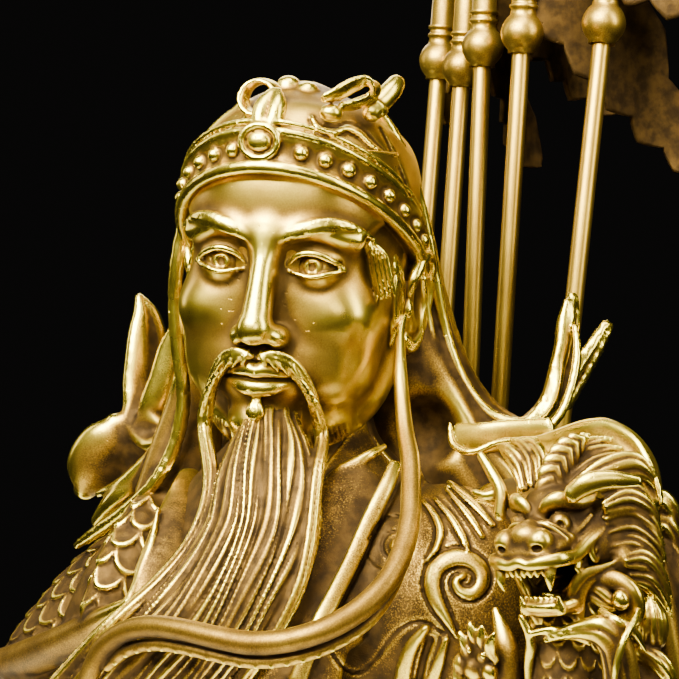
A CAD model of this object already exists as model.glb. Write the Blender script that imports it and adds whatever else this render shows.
# %% [markdown]
# # A cast brass bust of a bearded general
#
# The bust is one brass casting: head, cap, hood, beard, robe, a dragon's head on the left
# shoulder and scale armour on the right. Five brass poles stand in a case on its back and carry
# small cast banners. The lesson loads the solid model as a fixed frame, models every form over
# it, gives each piece an old polished brass, and lights it as a small studio still life.

# %% Load the frame
import math
import time
import bpy
import bmesh
import numpy as np
from mathutils import Matrix, Vector


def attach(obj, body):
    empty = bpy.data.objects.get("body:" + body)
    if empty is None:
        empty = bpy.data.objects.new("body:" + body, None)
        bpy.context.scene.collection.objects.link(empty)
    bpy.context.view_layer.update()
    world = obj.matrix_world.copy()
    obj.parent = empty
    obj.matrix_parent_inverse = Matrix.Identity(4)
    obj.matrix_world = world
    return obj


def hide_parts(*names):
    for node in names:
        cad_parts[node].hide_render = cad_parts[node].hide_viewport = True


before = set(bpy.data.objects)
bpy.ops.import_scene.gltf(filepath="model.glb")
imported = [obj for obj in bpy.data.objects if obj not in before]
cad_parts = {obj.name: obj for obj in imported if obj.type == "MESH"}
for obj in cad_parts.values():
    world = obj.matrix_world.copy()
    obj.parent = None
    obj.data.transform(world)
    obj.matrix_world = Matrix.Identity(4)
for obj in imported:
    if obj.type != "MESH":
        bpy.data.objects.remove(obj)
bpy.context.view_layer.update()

STARTED = time.time()
MM = 0.001

# %% [markdown]
# ## Three frames of reference
#
# A sculptor lays out each form in its own frame: the turned head, the guard on the shoulder, and
# the figure itself. All are in millimetres. A frame here is the three directions of its axes and
# its origin, so that a point is turned into the figure's frame by one product. The viewer is
# placed here too, because the cloth and the guard are laid out as they are seen.

# %% Frames
HEAD_TURN, HEAD_ROLL, ROLL_HEIGHT = math.radians(20), math.radians(3), 110.0
CROWN = (0, 0, 172)


class Frame:
    def __init__(self, axes, origin):
        self.axes, self.origin = np.array(axes, float), np.array(origin, float)
        self.back = np.linalg.inv(self.axes)
        self.handed = np.sign(np.linalg.det(self.axes))
        self.scale = abs(np.linalg.det(self.axes)) ** (1 / 3)

    def out(self, points):
        return np.asarray(points, float) @ self.axes + self.origin

    def into(self, points):
        return (np.asarray(points, float) - self.origin) @ self.back


def unit(v):
    v = np.asarray(v, float)
    return v / np.linalg.norm(v)


def head_frame():
    left = np.array([math.cos(HEAD_TURN), math.sin(HEAD_TURN), 0])
    back = np.array([-math.sin(HEAD_TURN), math.cos(HEAD_TURN), 0])
    up = np.array([0, 0, 1.0])
    axes = [
        left * math.cos(HEAD_ROLL) - up * math.sin(HEAD_ROLL),
        back,
        left * math.sin(HEAD_ROLL) + up * math.cos(HEAD_ROLL),
    ]
    return Frame(axes, up * ROLL_HEIGHT - ROLL_HEIGHT * axes[2])


# the viewer: the direction back to the eye, and right and up as the eye sees them
LOOK_AT = np.array([8.2, 5.7, 110.0])
LOOK_AZIMUTH, LOOK_ELEVATION, LOOK_DISTANCE = math.radians(35), math.radians(4.76), 480.0
LENS, SENSOR, PICTURE = 101.8, 36.0, 679
FOCAL = LENS / SENSOR * PICTURE
LOOK_BACK = np.array([
    math.sin(LOOK_AZIMUTH) * math.cos(LOOK_ELEVATION),
    -math.cos(LOOK_AZIMUTH) * math.cos(LOOK_ELEVATION),
    math.sin(LOOK_ELEVATION),
])
LOOK_RIGHT = np.array([math.cos(LOOK_AZIMUTH), math.sin(LOOK_AZIMUTH), 0])
LOOK_UP = np.cross(LOOK_BACK, LOOK_RIGHT)
EYE = LOOK_AT + LOOK_DISTANCE * LOOK_BACK

LEFTWARD, BACKWARD, UPWARD = (1, 0, 0), (0, 1, 0), (0, 0, 1)
FIGURE, HEAD = Frame(np.eye(3), [0, 0, 0]), head_frame()
print("crown:", HEAD.out(CROWN).round(1), "eye of the viewer:", EYE.round(1))

# %% [markdown]
# ## Digital clay
#
# The real bust was modelled in wax and cast, so its forms melt into one another and its lines
# are cut with a loop tool. Boxes and tubes joined by their faces never look like that, and a
# sculpt by hand can't be repeated by a script. So the forms are kept as clay: a block of points
# that each know their distance to the surface. Pressing a form on takes the smaller distance,
# with a little blend where wax would flow, and cutting takes the larger. A skin is drawn over
# the clay at the end, with corners exactly where the distance is nought.

# %% Clay
# the distance of empty clay, how far past its surface a form is reckoned, and the thinnest half width
FAR, ROOM, THINNEST = 9.0, 1.5, 0.12


def melted(a, b, soft):
    """The smaller of two distances, rounded where they are within soft of one another."""
    if soft <= 0:
        return np.minimum(a, b)
    h = np.clip(0.5 + 0.5 * (b - a) / soft, 0, 1)
    return b + (a - b) * h - soft * h * (1 - h)


def section(u, v, q, w, h, square):
    """The distance to an oval of half width w and half thickness h, or with a square over 2 to one
    with fuller corners. q is the way past its end."""
    if square == 2.0:
        k0 = np.sqrt((u / w) ** 2 + (v / h) ** 2 + q**2)
        k1 = np.sqrt((u / w**2) ** 2 + (v / h**2) ** 2 + (q / np.minimum(w, h)) ** 2)
        return k0 * (k0 - 1) / np.maximum(k1, 1e-5)
    au, av, aq = np.abs(u) / w, np.abs(v) / h, np.abs(q)
    kn = (au**square + av**square + aq**square) ** (1 / square)
    power = square - 1
    ends = (aq**power / np.minimum(w, h)) ** 2
    slope = np.sqrt((au**power / w) ** 2 + (av**power / h) ** 2 + ends) / np.maximum(kn, 1e-4) ** power
    return (kn - 1) / np.maximum(slope, 1e-4)


class Clay:
    """A block of points step mm apart in a frame, each with its distance to the surface."""

    def __init__(self, name, low, high, step, place=FIGURE):
        self.name, self.step, self.place = name, step, place
        self.low = np.array(low, float)
        self.count = [int(math.ceil((b - a) / step)) + 1 for a, b in zip(low, high)]
        self.depth = np.full(self.count, FAR, np.float32)
        self.toward = unit(LOOK_BACK @ place.back)
        self.lines = [(a + step * np.arange(n)).astype(np.float32) for a, n in zip(low, self.count)]

    def near(self, low, high, room=0.0):
        """The part of the block between two corners, and its open x, y and z."""
        cut = []
        for start, a, b, n in zip(self.low, low, high, self.count):
            i = max(0, int((a - room - start) / self.step))
            j = min(n, int((b + room - start) / self.step) + 2)
            if j <= i:
                return None
            cut.append(slice(i, j))
        x, y, z = (line[c] for line, c in zip(self.lines, cut))
        return tuple(cut), x[:, None, None], y[None, :, None], z[None, None, :]

    def press(self, cut, form, soft=0.0):
        self.depth[cut] = melted(self.depth[cut], form, soft)

    def carve(self, cut, form, soft=0.0):
        self.depth[cut] = -melted(-self.depth[cut], form, soft)

    def ball(self, centre, radii, soft=0.0, carve=False):
        """An ellipsoid, its three half sizes along the axes."""
        centre, radii = np.array(centre, float), np.array(radii, float)
        found = self.near(centre - radii, centre + radii, ROOM + soft)
        if found is None:
            return
        cut, x, y, z = found
        x, y, z = x - centre[0], y - centre[1], z - centre[2]
        a, b, c = radii
        k0 = np.sqrt((x / a) ** 2 + (y / b) ** 2 + (z / c) ** 2)
        k1 = np.sqrt((x / a**2) ** 2 + (y / b**2) ** 2 + (z / c**2) ** 2)
        form = (k0 * (k0 - 1) / np.maximum(k1, 1e-5)).astype(np.float32)
        (self.carve if carve else self.press)(cut, form, soft)

    def sweep(self, stations, across=None, soft=0.0, carve=False, steps=None, relief=None, square=2.0,
              flat_ends=False):
        """A form along stations [x, y, z, half width, half thickness]. relief(s, turn) raises it, where
        s is the length from the start in mm and turn the angle round the section. Without across, the
        wide way of the section lies flat to the viewer."""
        rows = catmull(stations, steps or 4 * (len(stations) - 1))
        centres, wide, thick = rows[:, :3], rows[:, 3], rows[:, 4]
        path = np.gradient(centres, axis=0)
        path /= np.linalg.norm(path, axis=1)[:, None]
        if across is None:
            side = np.cross(path, self.toward)
        else:
            side = np.asarray(across, float) - path * (path @ np.asarray(across, float))[:, None]
        side /= np.linalg.norm(side, axis=1)[:, None]
        outward = np.cross(path, side)
        length = np.concatenate([[0], np.cumsum(np.linalg.norm(np.diff(centres, axis=0), axis=1))])
        room = ROOM + soft
        reach = np.maximum(wide, thick)[:, None] + 0.6
        found = self.near((centres - reach).min(0), (centres + reach).max(0), room)
        if found is None:
            return
        cut = found[0]
        whole = np.full([c.stop - c.start for c in cut], FAR, np.float32)
        for i in range(len(rows) - 1):
            pair = slice(i, i + 2)
            ahead = unit(centres[i + 1] - centres[i])
            first, final = i == 0, i == len(rows) - 2
            bend = min(1.0, math.sqrt(max(0.0, 1 - min(ahead @ path[i], ahead @ path[i + 1]) ** 2)) + 0.02)
            around = np.minimum(1.0, np.sqrt(1 - ahead**2 + 1e-9) + bend)
            if first or final:
                around = np.full(3, 1.0)
            low = (centres[pair] - reach[pair] * around).min(0)
            high = (centres[pair] + reach[pair] * around).max(0)
            spot = self.near(low, high, room)
            if spot is None:
                continue
            part, x, y, z = spot
            a, b = centres[i], centres[i + 1]
            ab = b - a
            size = np.linalg.norm(ab)
            # planes across the path at both ends of the step, so that no gap opens in a bend
            past_a = (x - a[0]) * path[i, 0] + (y - a[1]) * path[i, 1] + (z - a[2]) * path[i, 2]
            past_b = (x - b[0]) * path[i + 1, 0] + (y - b[1]) * path[i + 1, 1] + (z - b[2]) * path[i + 1, 2]
            before, after = (past_a < 0) & (past_b < 0), (past_a > 0) & (past_b > 0)
            span = past_a - past_b
            free = past_a / np.where(np.abs(span) < 1e-3, 1e-3, span)
            free = np.where(before, 0, np.where(after, 1, np.clip(free, 0, 1))).astype(np.float32)
            rx, ry, rz = (x - a[0] - free * ab[0], y - a[1] - free * ab[1], z - a[2] - free * ab[2])

            def mixed(v, n):
                return v[i, n] + free * (v[i + 1, n] - v[i, n])

            u = rx * mixed(side, 0) + ry * mixed(side, 1) + rz * mixed(side, 2)
            v = rx * mixed(outward, 0) + ry * mixed(outward, 1) + rz * mixed(outward, 2)
            w = wide[i] + free * (wide[i + 1] - wide[i])
            h = thick[i] + free * (thick[i + 1] - thick[i])
            q = 0.0
            if first and not flat_ends:
                q = np.where(before, past_a / min(wide[i], thick[i]), 0)
            if final and not flat_ends:
                q = q + np.where(after, past_b / min(wide[i + 1], thick[i + 1]), 0)
            lean = max(abs(wide[i + 1] - wide[i]), abs(thick[i + 1] - thick[i])) / size
            form = section(u, v, q, w, h, square) / math.sqrt(1 + lean * lean)
            if flat_ends:
                form = np.maximum(form, -past_a) if first else form
                form = np.maximum(form, past_b) if final else form
            form = np.where((before & (not first)) | (after & (not final)), FAR, form)
            if relief is not None:
                s = length[i] + free * (length[i + 1] - length[i])
                form = form - relief(s, np.arctan2(v / h, u / w))
            inner = tuple(slice(near.start - c.start, near.stop - c.start) for near, c in zip(part, cut))
            whole[inner] = np.minimum(whole[inner], form)
        (self.carve if carve else self.press)(cut, whole, soft)


def catmull(rows, steps):
    """A smooth run through rows of numbers, so a path carries its widths with it."""
    rows = np.array(rows, float)
    place = np.linspace(0, len(rows) - 1, steps + 1)
    i = np.minimum(place.astype(int), len(rows) - 2)
    s = (place - i)[:, None]

    def row(k):
        return rows[np.clip(k, 0, len(rows) - 1)]

    a, b, c, d = row(i - 1), row(i), row(i + 1), row(i + 2)
    out = 0.5 * (2 * b + (c - a) * s + (2 * a - 5 * b + 4 * c - d) * s**2 + (3 * b - a - 3 * c + d) * s**3)
    out[:, 3:] = np.maximum(out[:, 3:], THINNEST)
    return out


print("two distances of 1 mm, melted over 2 mm:", melted(1.0, 1.0, 2.0))

# %% [markdown]
# ## A skin over the clay
#
# Marching cubes would leave slivers, and Blender's remesher would round the cut lines. Here each
# small cube that the surface passes through gets one corner, at the mean of where its edges
# cross the surface, and each crossed edge joins the four cubes around it with a face. The
# corners are then drawn to the exact surface.

# %% Skin
def sampled(field, low, step, points):
    """The field between its grid points."""
    place = (points - low) / step
    top = np.array(field.shape) - 1.001
    place = np.clip(place, 0, top)
    i = place.astype(np.int32)
    f = (place - i).astype(np.float32)
    flat, (_, ny, nz) = field.ravel(), field.shape
    base = (i[:, 0] * ny + i[:, 1]) * nz + i[:, 2]
    out = np.zeros(len(points), np.float32)
    for dx in (0, 1):
        wx = f[:, 0] if dx else 1 - f[:, 0]
        for dy in (0, 1):
            wy = f[:, 1] if dy else 1 - f[:, 1]
            for dz in (0, 1):
                wz = f[:, 2] if dz else 1 - f[:, 2]
                out += wx * wy * wz * flat[base + (dx * ny + dy) * nz + dz]
    return out


def skinned(clay):
    """Corners in the clay's own frame, and faces of four."""
    field = clay.depth
    for axis in range(3):
        for end in (0, -1):
            np.moveaxis(field, axis, 0)[end] = np.maximum(np.moveaxis(field, axis, 0)[end], 0.4 * clay.step)
    inside = field < 0
    _, ny, nz = field.shape
    cells, points, flips = [], [], []
    strides = (ny * nz, nz, 1)
    flat = field.ravel()
    for axis in range(3):
        this_end, that_end = [slice(None)] * 3, [slice(None)] * 3
        this_end[axis], that_end[axis] = slice(0, -1), slice(1, None)
        crossed = np.argwhere(inside[tuple(this_end)] != inside[tuple(that_end)]).astype(np.int64)
        base = crossed @ np.array(strides)
        a, b = flat[base], flat[base + strides[axis]]
        place = crossed.astype(np.float32)
        place[:, axis] += a / (a - b)
        others = [n for n in range(3) if n != axis]
        ring = []
        for da, db in ((0, 0), (1, 0), (1, 1), (0, 1)):
            ring.append(base - da * strides[others[0]] - db * strides[others[1]])
        cells.append(np.stack(ring, 1))
        points.append(np.repeat(place[:, None], 4, 1))
        flips.append((a < 0) if axis != 1 else (a >= 0))
    cells, points, flips = np.concatenate(cells), np.concatenate(points), np.concatenate(flips)
    known, number = np.unique(cells, return_inverse=True)
    number = number.reshape(cells.shape)
    share = np.bincount(number.ravel(), minlength=len(known)).astype(np.float32)
    corner = np.stack([np.bincount(number.ravel(), points[:, :, n].ravel(), len(known)) / share
                       for n in range(3)], 1)
    faces = np.where(flips[:, None], number[:, ::-1], number)
    corners = clay.low + corner * clay.step
    half_steps = 0.5 * clay.step * np.eye(3)

    def level(points):
        return sampled(field, clay.low, clay.step, points)

    for _ in range(2):
        here = level(corners)
        slope = np.stack([(level(corners + d) - level(corners - d)) / clay.step for d in half_steps], 1)
        size = np.maximum((slope**2).sum(1), 0.2)
        move = np.clip(here / size, -0.5 * clay.step, 0.5 * clay.step)
        corners = corners - 0.7 * move[:, None] * slope
    return corners, faces


SMALLEST_SHELL = 400


def main_shells(faces, count):
    """Which corners belong to a shell of some size: crumbs cut loose by a tool are dropped."""
    label = np.arange(count)
    a, b = faces.ravel(), np.roll(faces, 1, axis=1).ravel()
    while True:
        low = np.minimum(label[a], label[b])
        fresh = label.copy()
        np.minimum.at(fresh, a, low)
        np.minimum.at(fresh, b, low)
        fresh = fresh[fresh]
        if (fresh == label).all():
            break
        label = fresh
    sizes = np.bincount(label, minlength=count)
    return sizes[label] >= SMALLEST_SHELL


def blurred(field, times):
    """The field averaged with its neighbours, a few times over."""
    field = field.copy()
    for _ in range(times):
        for axis in range(3):
            f = np.moveaxis(field, axis, 0)
            mid = 0.5 * f[1:-1] + 0.25 * (f[:-2] + f[2:])
            f[1:-1] = mid
    return field


print("a shell of fewer corners than this is a crumb:", SMALLEST_SHELL)

# %% [markdown]
# ## From clay to a Blender piece
#
# A piece needs its skin as a mesh, and a record of where the form is hollow and where it stands
# proud, because old brass is dark in the hollows and rubbed bright on the heights. The mean of
# the distance round a corner tells this: it is below nought in a groove and above it on an edge.
# It is kept as three attributes, for fine lines, for folds, and for whole forms that meet.

# %% Casting
STATUE = []
COARSE_STEP = 2.0
COARSE_LOW = np.array([-112.0, -76.0, -4.0])
COARSE = np.full((115, 92, 96), FAR, np.float32)


def steeped(field, step, reach):
    """The field blurred until it takes in about reach mm to each side."""
    wanted = 2 * (reach / step) ** 2
    wide = int(max(0, wanted - 3) // 4)
    field = blurred(field, 3)
    for _ in range(wide):
        for axis in range(3):
            f = np.moveaxis(field, axis, 0)
            mid = 0.5 * f[2:-2] + 0.25 * (f[:-4] + f[4:])
            f[2:-2] = mid
    return field


def note_coarse(clay):
    """Adds the clay to the coarse block that holds the whole figure."""
    corners = np.array([[clay.lines[0][i], clay.lines[1][j], clay.lines[2][k]]
                        for i in (0, -1) for j in (0, -1) for k in (0, -1)])
    world = clay.place.out(corners)
    low = np.maximum(((world.min(0) - COARSE_LOW) / COARSE_STEP).astype(int), 0)
    high = np.minimum(((world.max(0) - COARSE_LOW) / COARSE_STEP).astype(int) + 2, COARSE.shape)
    grid = np.stack(np.meshgrid(*[np.arange(a, b) for a, b in zip(low, high)], indexing="ij"), -1)
    own = clay.place.into(grid.reshape(-1, 3) * COARSE_STEP + COARSE_LOW)
    top = clay.low + clay.step * (np.array(clay.count) - 1)
    ok = ((own >= clay.low) & (own <= top)).all(1)
    value = np.full(len(own), FAR, np.float32)
    value[ok] = sampled(clay.depth, clay.low, clay.step, own[ok]) * clay.place.scale
    spot = tuple(slice(a, b) for a, b in zip(low, high))
    COARSE[spot] = np.minimum(COARSE[spot], value.reshape(COARSE[spot].shape))


def cast(clay, material, fine=0.8, fold=2.2):
    """Skins the clay and makes the piece that stands for a part of the CAD figure."""
    began = time.time()
    note_coarse(clay)
    corners, faces = skinned(clay)
    keep = main_shells(faces, len(corners))
    faces = faces[keep[faces[:, 0]]]
    number = np.cumsum(keep) - 1
    corners, faces = corners[keep], number[faces]
    scale = clay.place.scale
    near = np.clip(clay.depth, -2.5, 2.5)
    near = steeped(near, clay.step, fine / scale)
    thin = sampled(near, clay.low, clay.step, corners) * scale
    near = steeped(near, clay.step, fold / scale)
    broad = sampled(near, clay.low, clay.step, corners) * scale
    if clay.place.handed < 0:
        faces = faces[:, ::-1]
    world = (clay.place.out(corners) * MM).astype(np.float32)
    mesh = bpy.data.meshes.new(clay.name)
    mesh.vertices.add(len(world))
    mesh.vertices.foreach_set("co", world.ravel())
    mesh.loops.add(faces.size)
    mesh.loops.foreach_set("vertex_index", faces.ravel().astype(np.int32))
    mesh.polygons.add(len(faces))
    mesh.polygons.foreach_set("loop_start", np.arange(0, faces.size, 4, dtype=np.int32))
    mesh.polygons.foreach_set("use_smooth", np.ones(len(faces), bool))
    mesh.update(calc_edges=True)
    for title, values in (("fine", thin), ("fold", broad)):
        mesh.attributes.new(title, "FLOAT", "POINT").data.foreach_set("value", values.astype(np.float32))
    piece = finished(clay.name, mesh, material)
    print(f"{clay.name}: {len(faces) * 2} triangles, {time.time() - began:.1f} s,",
          "fine", np.percentile(thin, [5, 50, 95]).round(2),
          "fold", np.percentile(broad, [5, 50, 95]).round(2))
    clay.depth = None
    return piece


def finished(name, mesh, material):
    """The piece of a mesh, with its finish, on the one body."""
    piece = bpy.data.objects.new(name, mesh)
    bpy.context.scene.collection.objects.link(piece)
    mesh.materials.append(material)
    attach(piece, "root")
    STATUE.append(piece)
    return piece


# %% [markdown]
# ## Hair, cut with a loop tool
#
# Hair on a cast figure is cut as long grooves that run with the form. Each groove is sharp
# below and the strand between two is round above, and they wander a little. The relief is laid
# round a swept form, so that every strand follows its path.

# %% Relief
def strands(count, depth, wander, length=34.0):
    """The relief of count grooves a half turn, depth mm deep, that wander once in every length."""
    def relief(s, turn):
        phase = 0.5 * count * turn + wander * np.sin(2 * math.pi * s / length + 2 * turn)
        phase = phase + 0.5 * wander * np.sin(5 * turn + 0.09 * s)
        return -depth * (1 - np.abs(np.sin(phase))) ** 1.4
    return relief


print("relief in a groove 0.4 mm deep, and on the strand beside it:",
      [round(float(strands(8, 0.4, 0.1)(0.0, turn)), 2) for turn in (0.0, math.pi / 8)])

# %% [markdown]
# ## Drawing on the clay from the viewer's side
#
# An engraver draws scrolls and borders on the finished form from the side where they will be
# seen. A drawing here is a line of points as they lie in the picture, 679 across. Every bit of
# clay near the surface knows where it lies in that picture, so the line can be cut or raised
# there and keeps its shape over bumps and folds.

# %% Drawing
# steps of the curve between two points of a drawing
PEN_STEPS = 6


def in_picture(world):
    """Where points of the figure lie in the picture."""
    rel = world - EYE
    far = -(rel @ LOOK_BACK)
    return PICTURE / 2 + FOCAL * (rel @ LOOK_RIGHT) / far, PICTURE / 2 - FOCAL * (rel @ LOOK_UP) / far


def drawn(clay, low, high, lines, width, rise, shape="round"):
    """Raises (or with a rise below nought cuts) lines of picture points, width px to each side. A line
    is a list of (x, y), or of (x, y, share of width)."""
    found = clay.near(low, high)
    if found is None:
        return
    cut = found[0]
    block = clay.depth[cut]
    spots = np.argwhere(np.abs(block) < 3.0)
    own = clay.low + clay.step * (spots + np.array([c.start for c in cut]))
    px, py = in_picture(clay.place.out(own))
    best = np.full(len(px), 99.0)
    for line in lines:
        rows = np.array([list(p) + [1.0] * (3 - len(p)) for p in line], float)
        rows = np.c_[rows[:, :2], np.zeros(len(rows)), rows[:, 2]]
        rows = catmull(rows, PEN_STEPS * (len(rows) - 1))[:, [0, 1, 3]]
        reach = width * 1.3 * rows[:, 2].max() + 2
        close = ((px > rows[:, 0].min() - reach) & (px < rows[:, 0].max() + reach)
                 & (py > rows[:, 1].min() - reach) & (py < rows[:, 1].max() + reach))
        qx, qy, here = px[close], py[close], best[close]
        for a, b in zip(rows[:-1], rows[1:]):
            dx, dy = b[0] - a[0], b[1] - a[1]
            t = np.clip(((qx - a[0]) * dx + (qy - a[1]) * dy) / max(dx * dx + dy * dy, 1e-6), 0, 1)
            d = np.hypot(qx - a[0] - t * dx, qy - a[1] - t * dy) / (width * (a[2] + t * (b[2] - a[2])))
            here = np.minimum(here, d)
        best[close] = here
    if shape == "groove":
        profile = np.clip(1 - best, 0, 1) ** 0.8
    else:
        profile = np.sqrt(np.clip(1 - best**2, 0, 1))
    on = best < 1.3
    spots = spots[on]
    block[spots[:, 0], spots[:, 1], spots[:, 2]] -= (rise * profile[on]).astype(np.float32)
    clay.depth[cut] = block


def outlines(line, out):
    """Two lines beside a line of (x, y, share), out px away at full width."""
    rows = catmull([[x, y, 0, s] for x, y, s in line], PEN_STEPS * (len(line) - 1))
    way = np.gradient(rows[:, :2], axis=0)
    way /= np.linalg.norm(way, axis=1)[:, None] + 1e-6
    normal = np.c_[-way[:, 1], way[:, 0]]
    return [[tuple(p) for p in rows[:, :2] + side * out * rows[:, 3:4] * normal] for side in (-1, 1)]


def whorl(x, y, size, start, turns, inner):
    """A spiral of picture points that winds in from its start angle, in degrees, to a share of its size."""
    share = np.linspace(0, 1, 26)
    angle = np.radians(start) + share * turns * 2 * math.pi
    reach = size * (1 - (1 - inner) * share)
    return [(x + r * math.cos(a), y - r * math.sin(a)) for a, r in zip(angle, reach)]


def seen(*points):
    """Points of the figure that lie at (x, y) in the picture and at the given depth, the figure's own
    y. What follows the three numbers stays with the point."""
    rows = []
    for x, y, depth, *rest in points:
        ray = -LOOK_BACK + LOOK_RIGHT * (x - PICTURE / 2) / FOCAL - LOOK_UP * (y - PICTURE / 2) / FOCAL
        rows.append(list(EYE + ray * (depth - EYE[1]) / ray[1]) + rest)
    return rows


print("the crown in the picture:", [round(float(v)) for v in in_picture(HEAD.out(CROWN))])

# %% [markdown]
# ## Old polished brass
#
# The statue is cast brass that was darkened, then rubbed: hollows keep a brown-black coat with a
# grain of casting sand, flats are deep gold, and edges are worn to pale gold. One node group
# reads the three attributes and gives the colour, roughness, metal share and grain height. It
# is shared by all finishes, each of which sets its own amounts.

# %% Brass
PALE_GOLD, DEEP_GOLD, AMBER = (1.0, 0.79, 0.09, 1), (0.42, 0.25, 0.035, 1), (0.45, 0.25, 0.03, 1)
BLACK_BROWN, BROWN, HALF_COATED = (0.024, 0.012, 0.004, 1), (0.09, 0.046, 0.012, 1), (0.17, 0.09, 0.012, 1)
CLOUDS, PATCHES, SAND, PITS = 60.0, 260.0, 2600.0, 700.0


def linked(tree, kind, place=(0, 0), **values):
    """A new node of a tree, with its settings."""
    node = tree.nodes.new(kind)
    node.location = place
    for key, value in values.items():
        setattr(node, key, value)
    return node


def fed(tree, socket, value):
    """Gives a socket a plain value, or joins it to another socket."""
    if isinstance(value, (int, float, tuple)):
        socket.default_value = value
    else:
        tree.links.new(value, socket)


def calculation(tree, what, a, b=None, c=None, clamp=False):
    """A sum of up to three values, numbers or sockets."""
    node = linked(tree, "ShaderNodeMath", operation=what, use_clamp=clamp)
    for socket, value in zip(node.inputs, (a, b, c)):
        if value is not None:
            fed(tree, socket, value)
    return node.outputs[0]


def spread(tree, value, low, high, to_low=0.0, to_high=1.0):
    """A value that passes softly from one level to another between low and high."""
    node = linked(tree, "ShaderNodeMapRange", interpolation_type="SMOOTHSTEP", clamp=True)
    for name, given in (("From Min", low), ("From Max", high), ("To Min", to_low), ("To Max", to_high)):
        fed(tree, node.inputs[name], given)
    tree.links.new(value, node.inputs["Value"])
    return node.outputs["Result"]


def noise(tree, vector, scale, detail, rough=0.55):
    """A cloudy pattern of the given scale, in features to a metre."""
    node = linked(tree, "ShaderNodeTexNoise")
    node.inputs["Scale"].default_value = scale
    node.inputs["Detail"].default_value = detail
    node.inputs["Roughness"].default_value = rough
    tree.links.new(vector, node.inputs["Vector"])
    return node.outputs["Fac"]


def mixed_colours(tree, share, a, b):
    """Two colours mixed. The node has float sockets of the same names, so these are picked by type."""
    node = linked(tree, "ShaderNodeMix", data_type="RGBA")
    factor = [s for s in node.inputs if s.type == "VALUE"][0]
    tree.links.new(share, factor)
    for socket, value in zip([s for s in node.inputs if s.type == "RGBA"], (a, b)):
        fed(tree, socket, value)
    return [s for s in node.outputs if s.type == "RGBA"][0]


def old_brass_group():
    """The node group that all the finishes share."""
    tree = bpy.data.node_groups.new("old brass", "ShaderNodeTree")
    sockets = tree.interface
    for name in ("Fine", "Fold", "Deep", "Dark", "Grain", "Polish", "Wear"):
        sockets.new_socket(name=name, in_out="INPUT", socket_type="NodeSocketFloat")
    sockets.new_socket(name="Place", in_out="INPUT", socket_type="NodeSocketVector")
    sockets.new_socket(name="Color", in_out="OUTPUT", socket_type="NodeSocketColor")
    for name in ("Roughness", "Metallic", "Height"):
        sockets.new_socket(name=name, in_out="OUTPUT", socket_type="NodeSocketFloat")
    given = linked(tree, "NodeGroupInput").outputs
    result = linked(tree, "NodeGroupOutput").inputs
    place = given["Place"]
    cloud = noise(tree, place, CLOUDS, 4.0)
    patch = noise(tree, place, PATCHES, 3.0)
    sand = noise(tree, place, SAND, 2.0, 0.7)
    cloudy = calculation(tree, "SUBTRACT", cloud, 0.5)
    patchy = calculation(tree, "SUBTRACT", patch, 0.5)
    # how far the coat was rubbed away: high on edges and swells, low in lines, folds and joints
    rub = calculation(tree, "MULTIPLY", given["Fine"], 3.0)
    rub = calculation(tree, "MULTIPLY_ADD", calculation(tree, "SUBTRACT", given["Fold"], 0.15), 0.6, rub)
    rub = calculation(tree, "MULTIPLY_ADD", cloudy, 0.30, rub)
    rub = calculation(tree, "MULTIPLY_ADD", patchy, 0.16, rub)
    shut = spread(tree, given["Deep"], -2.4, -0.2, 1.0, 0.0)
    rub = calculation(tree, "MULTIPLY_ADD", shut, -0.7, rub)
    rub = calculation(tree, "ADD", rub, given["Wear"])
    # the coat breaks up into specks where the casting is sandy
    specks = calculation(tree, "MULTIPLY", calculation(tree, "SUBTRACT", sand, 0.52), given["Grain"])
    rub = calculation(tree, "MULTIPLY_ADD", specks, 0.9, rub)
    coat = spread(tree, rub, -0.36, 0.26, 1.0, 0.0)
    coat = calculation(tree, "MULTIPLY", coat, given["Dark"], clamp=True)
    worn = spread(tree, rub, 0.0, 0.7)
    gold = mixed_colours(tree, worn, DEEP_GOLD, PALE_GOLD)
    gold = mixed_colours(tree, spread(tree, patch, 0.35, 0.7, 0.0, 0.35), gold, AMBER)
    brown = mixed_colours(tree, spread(tree, patch, 0.3, 0.8), BLACK_BROWN, BROWN)
    half = mixed_colours(tree, spread(tree, coat, 0.0, 0.55), gold, HALF_COATED)
    tree.links.new(mixed_colours(tree, spread(tree, coat, 0.4, 1.0), half, brown), result["Color"])
    rough = calculation(tree, "MULTIPLY_ADD", coat, 0.28, 0.34)
    rough = calculation(tree, "MULTIPLY_ADD", worn, -0.08, rough)
    rough = calculation(tree, "MULTIPLY_ADD", cloudy, 0.20, rough)
    rough = calculation(tree, "DIVIDE", rough, given["Polish"], clamp=True)
    tree.links.new(rough, result["Roughness"])
    tree.links.new(calculation(tree, "MULTIPLY_ADD", coat, -0.12, 1.0, clamp=True), result["Metallic"])
    # casting sand shows where the tool didn't reach, and a faint ripple of the polishing elsewhere
    grain = calculation(tree, "MULTIPLY", sand, spread(tree, rub, -0.35, 0.25, 1.0, 0.12))
    grain = calculation(tree, "MULTIPLY", grain, given["Grain"])
    ripple = calculation(tree, "MULTIPLY", patch, 0.35)
    pits = spread(tree, noise(tree, place, PITS, 1.0), 0.70, 0.76, 0.0, -1.6)
    pits = calculation(tree, "MULTIPLY", pits, spread(tree, cloud, 0.5, 0.62))
    height = calculation(tree, "ADD", calculation(tree, "ADD", grain, ripple), pits)
    tree.links.new(height, result["Height"])
    return tree


OLD_BRASS = old_brass_group()


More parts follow.
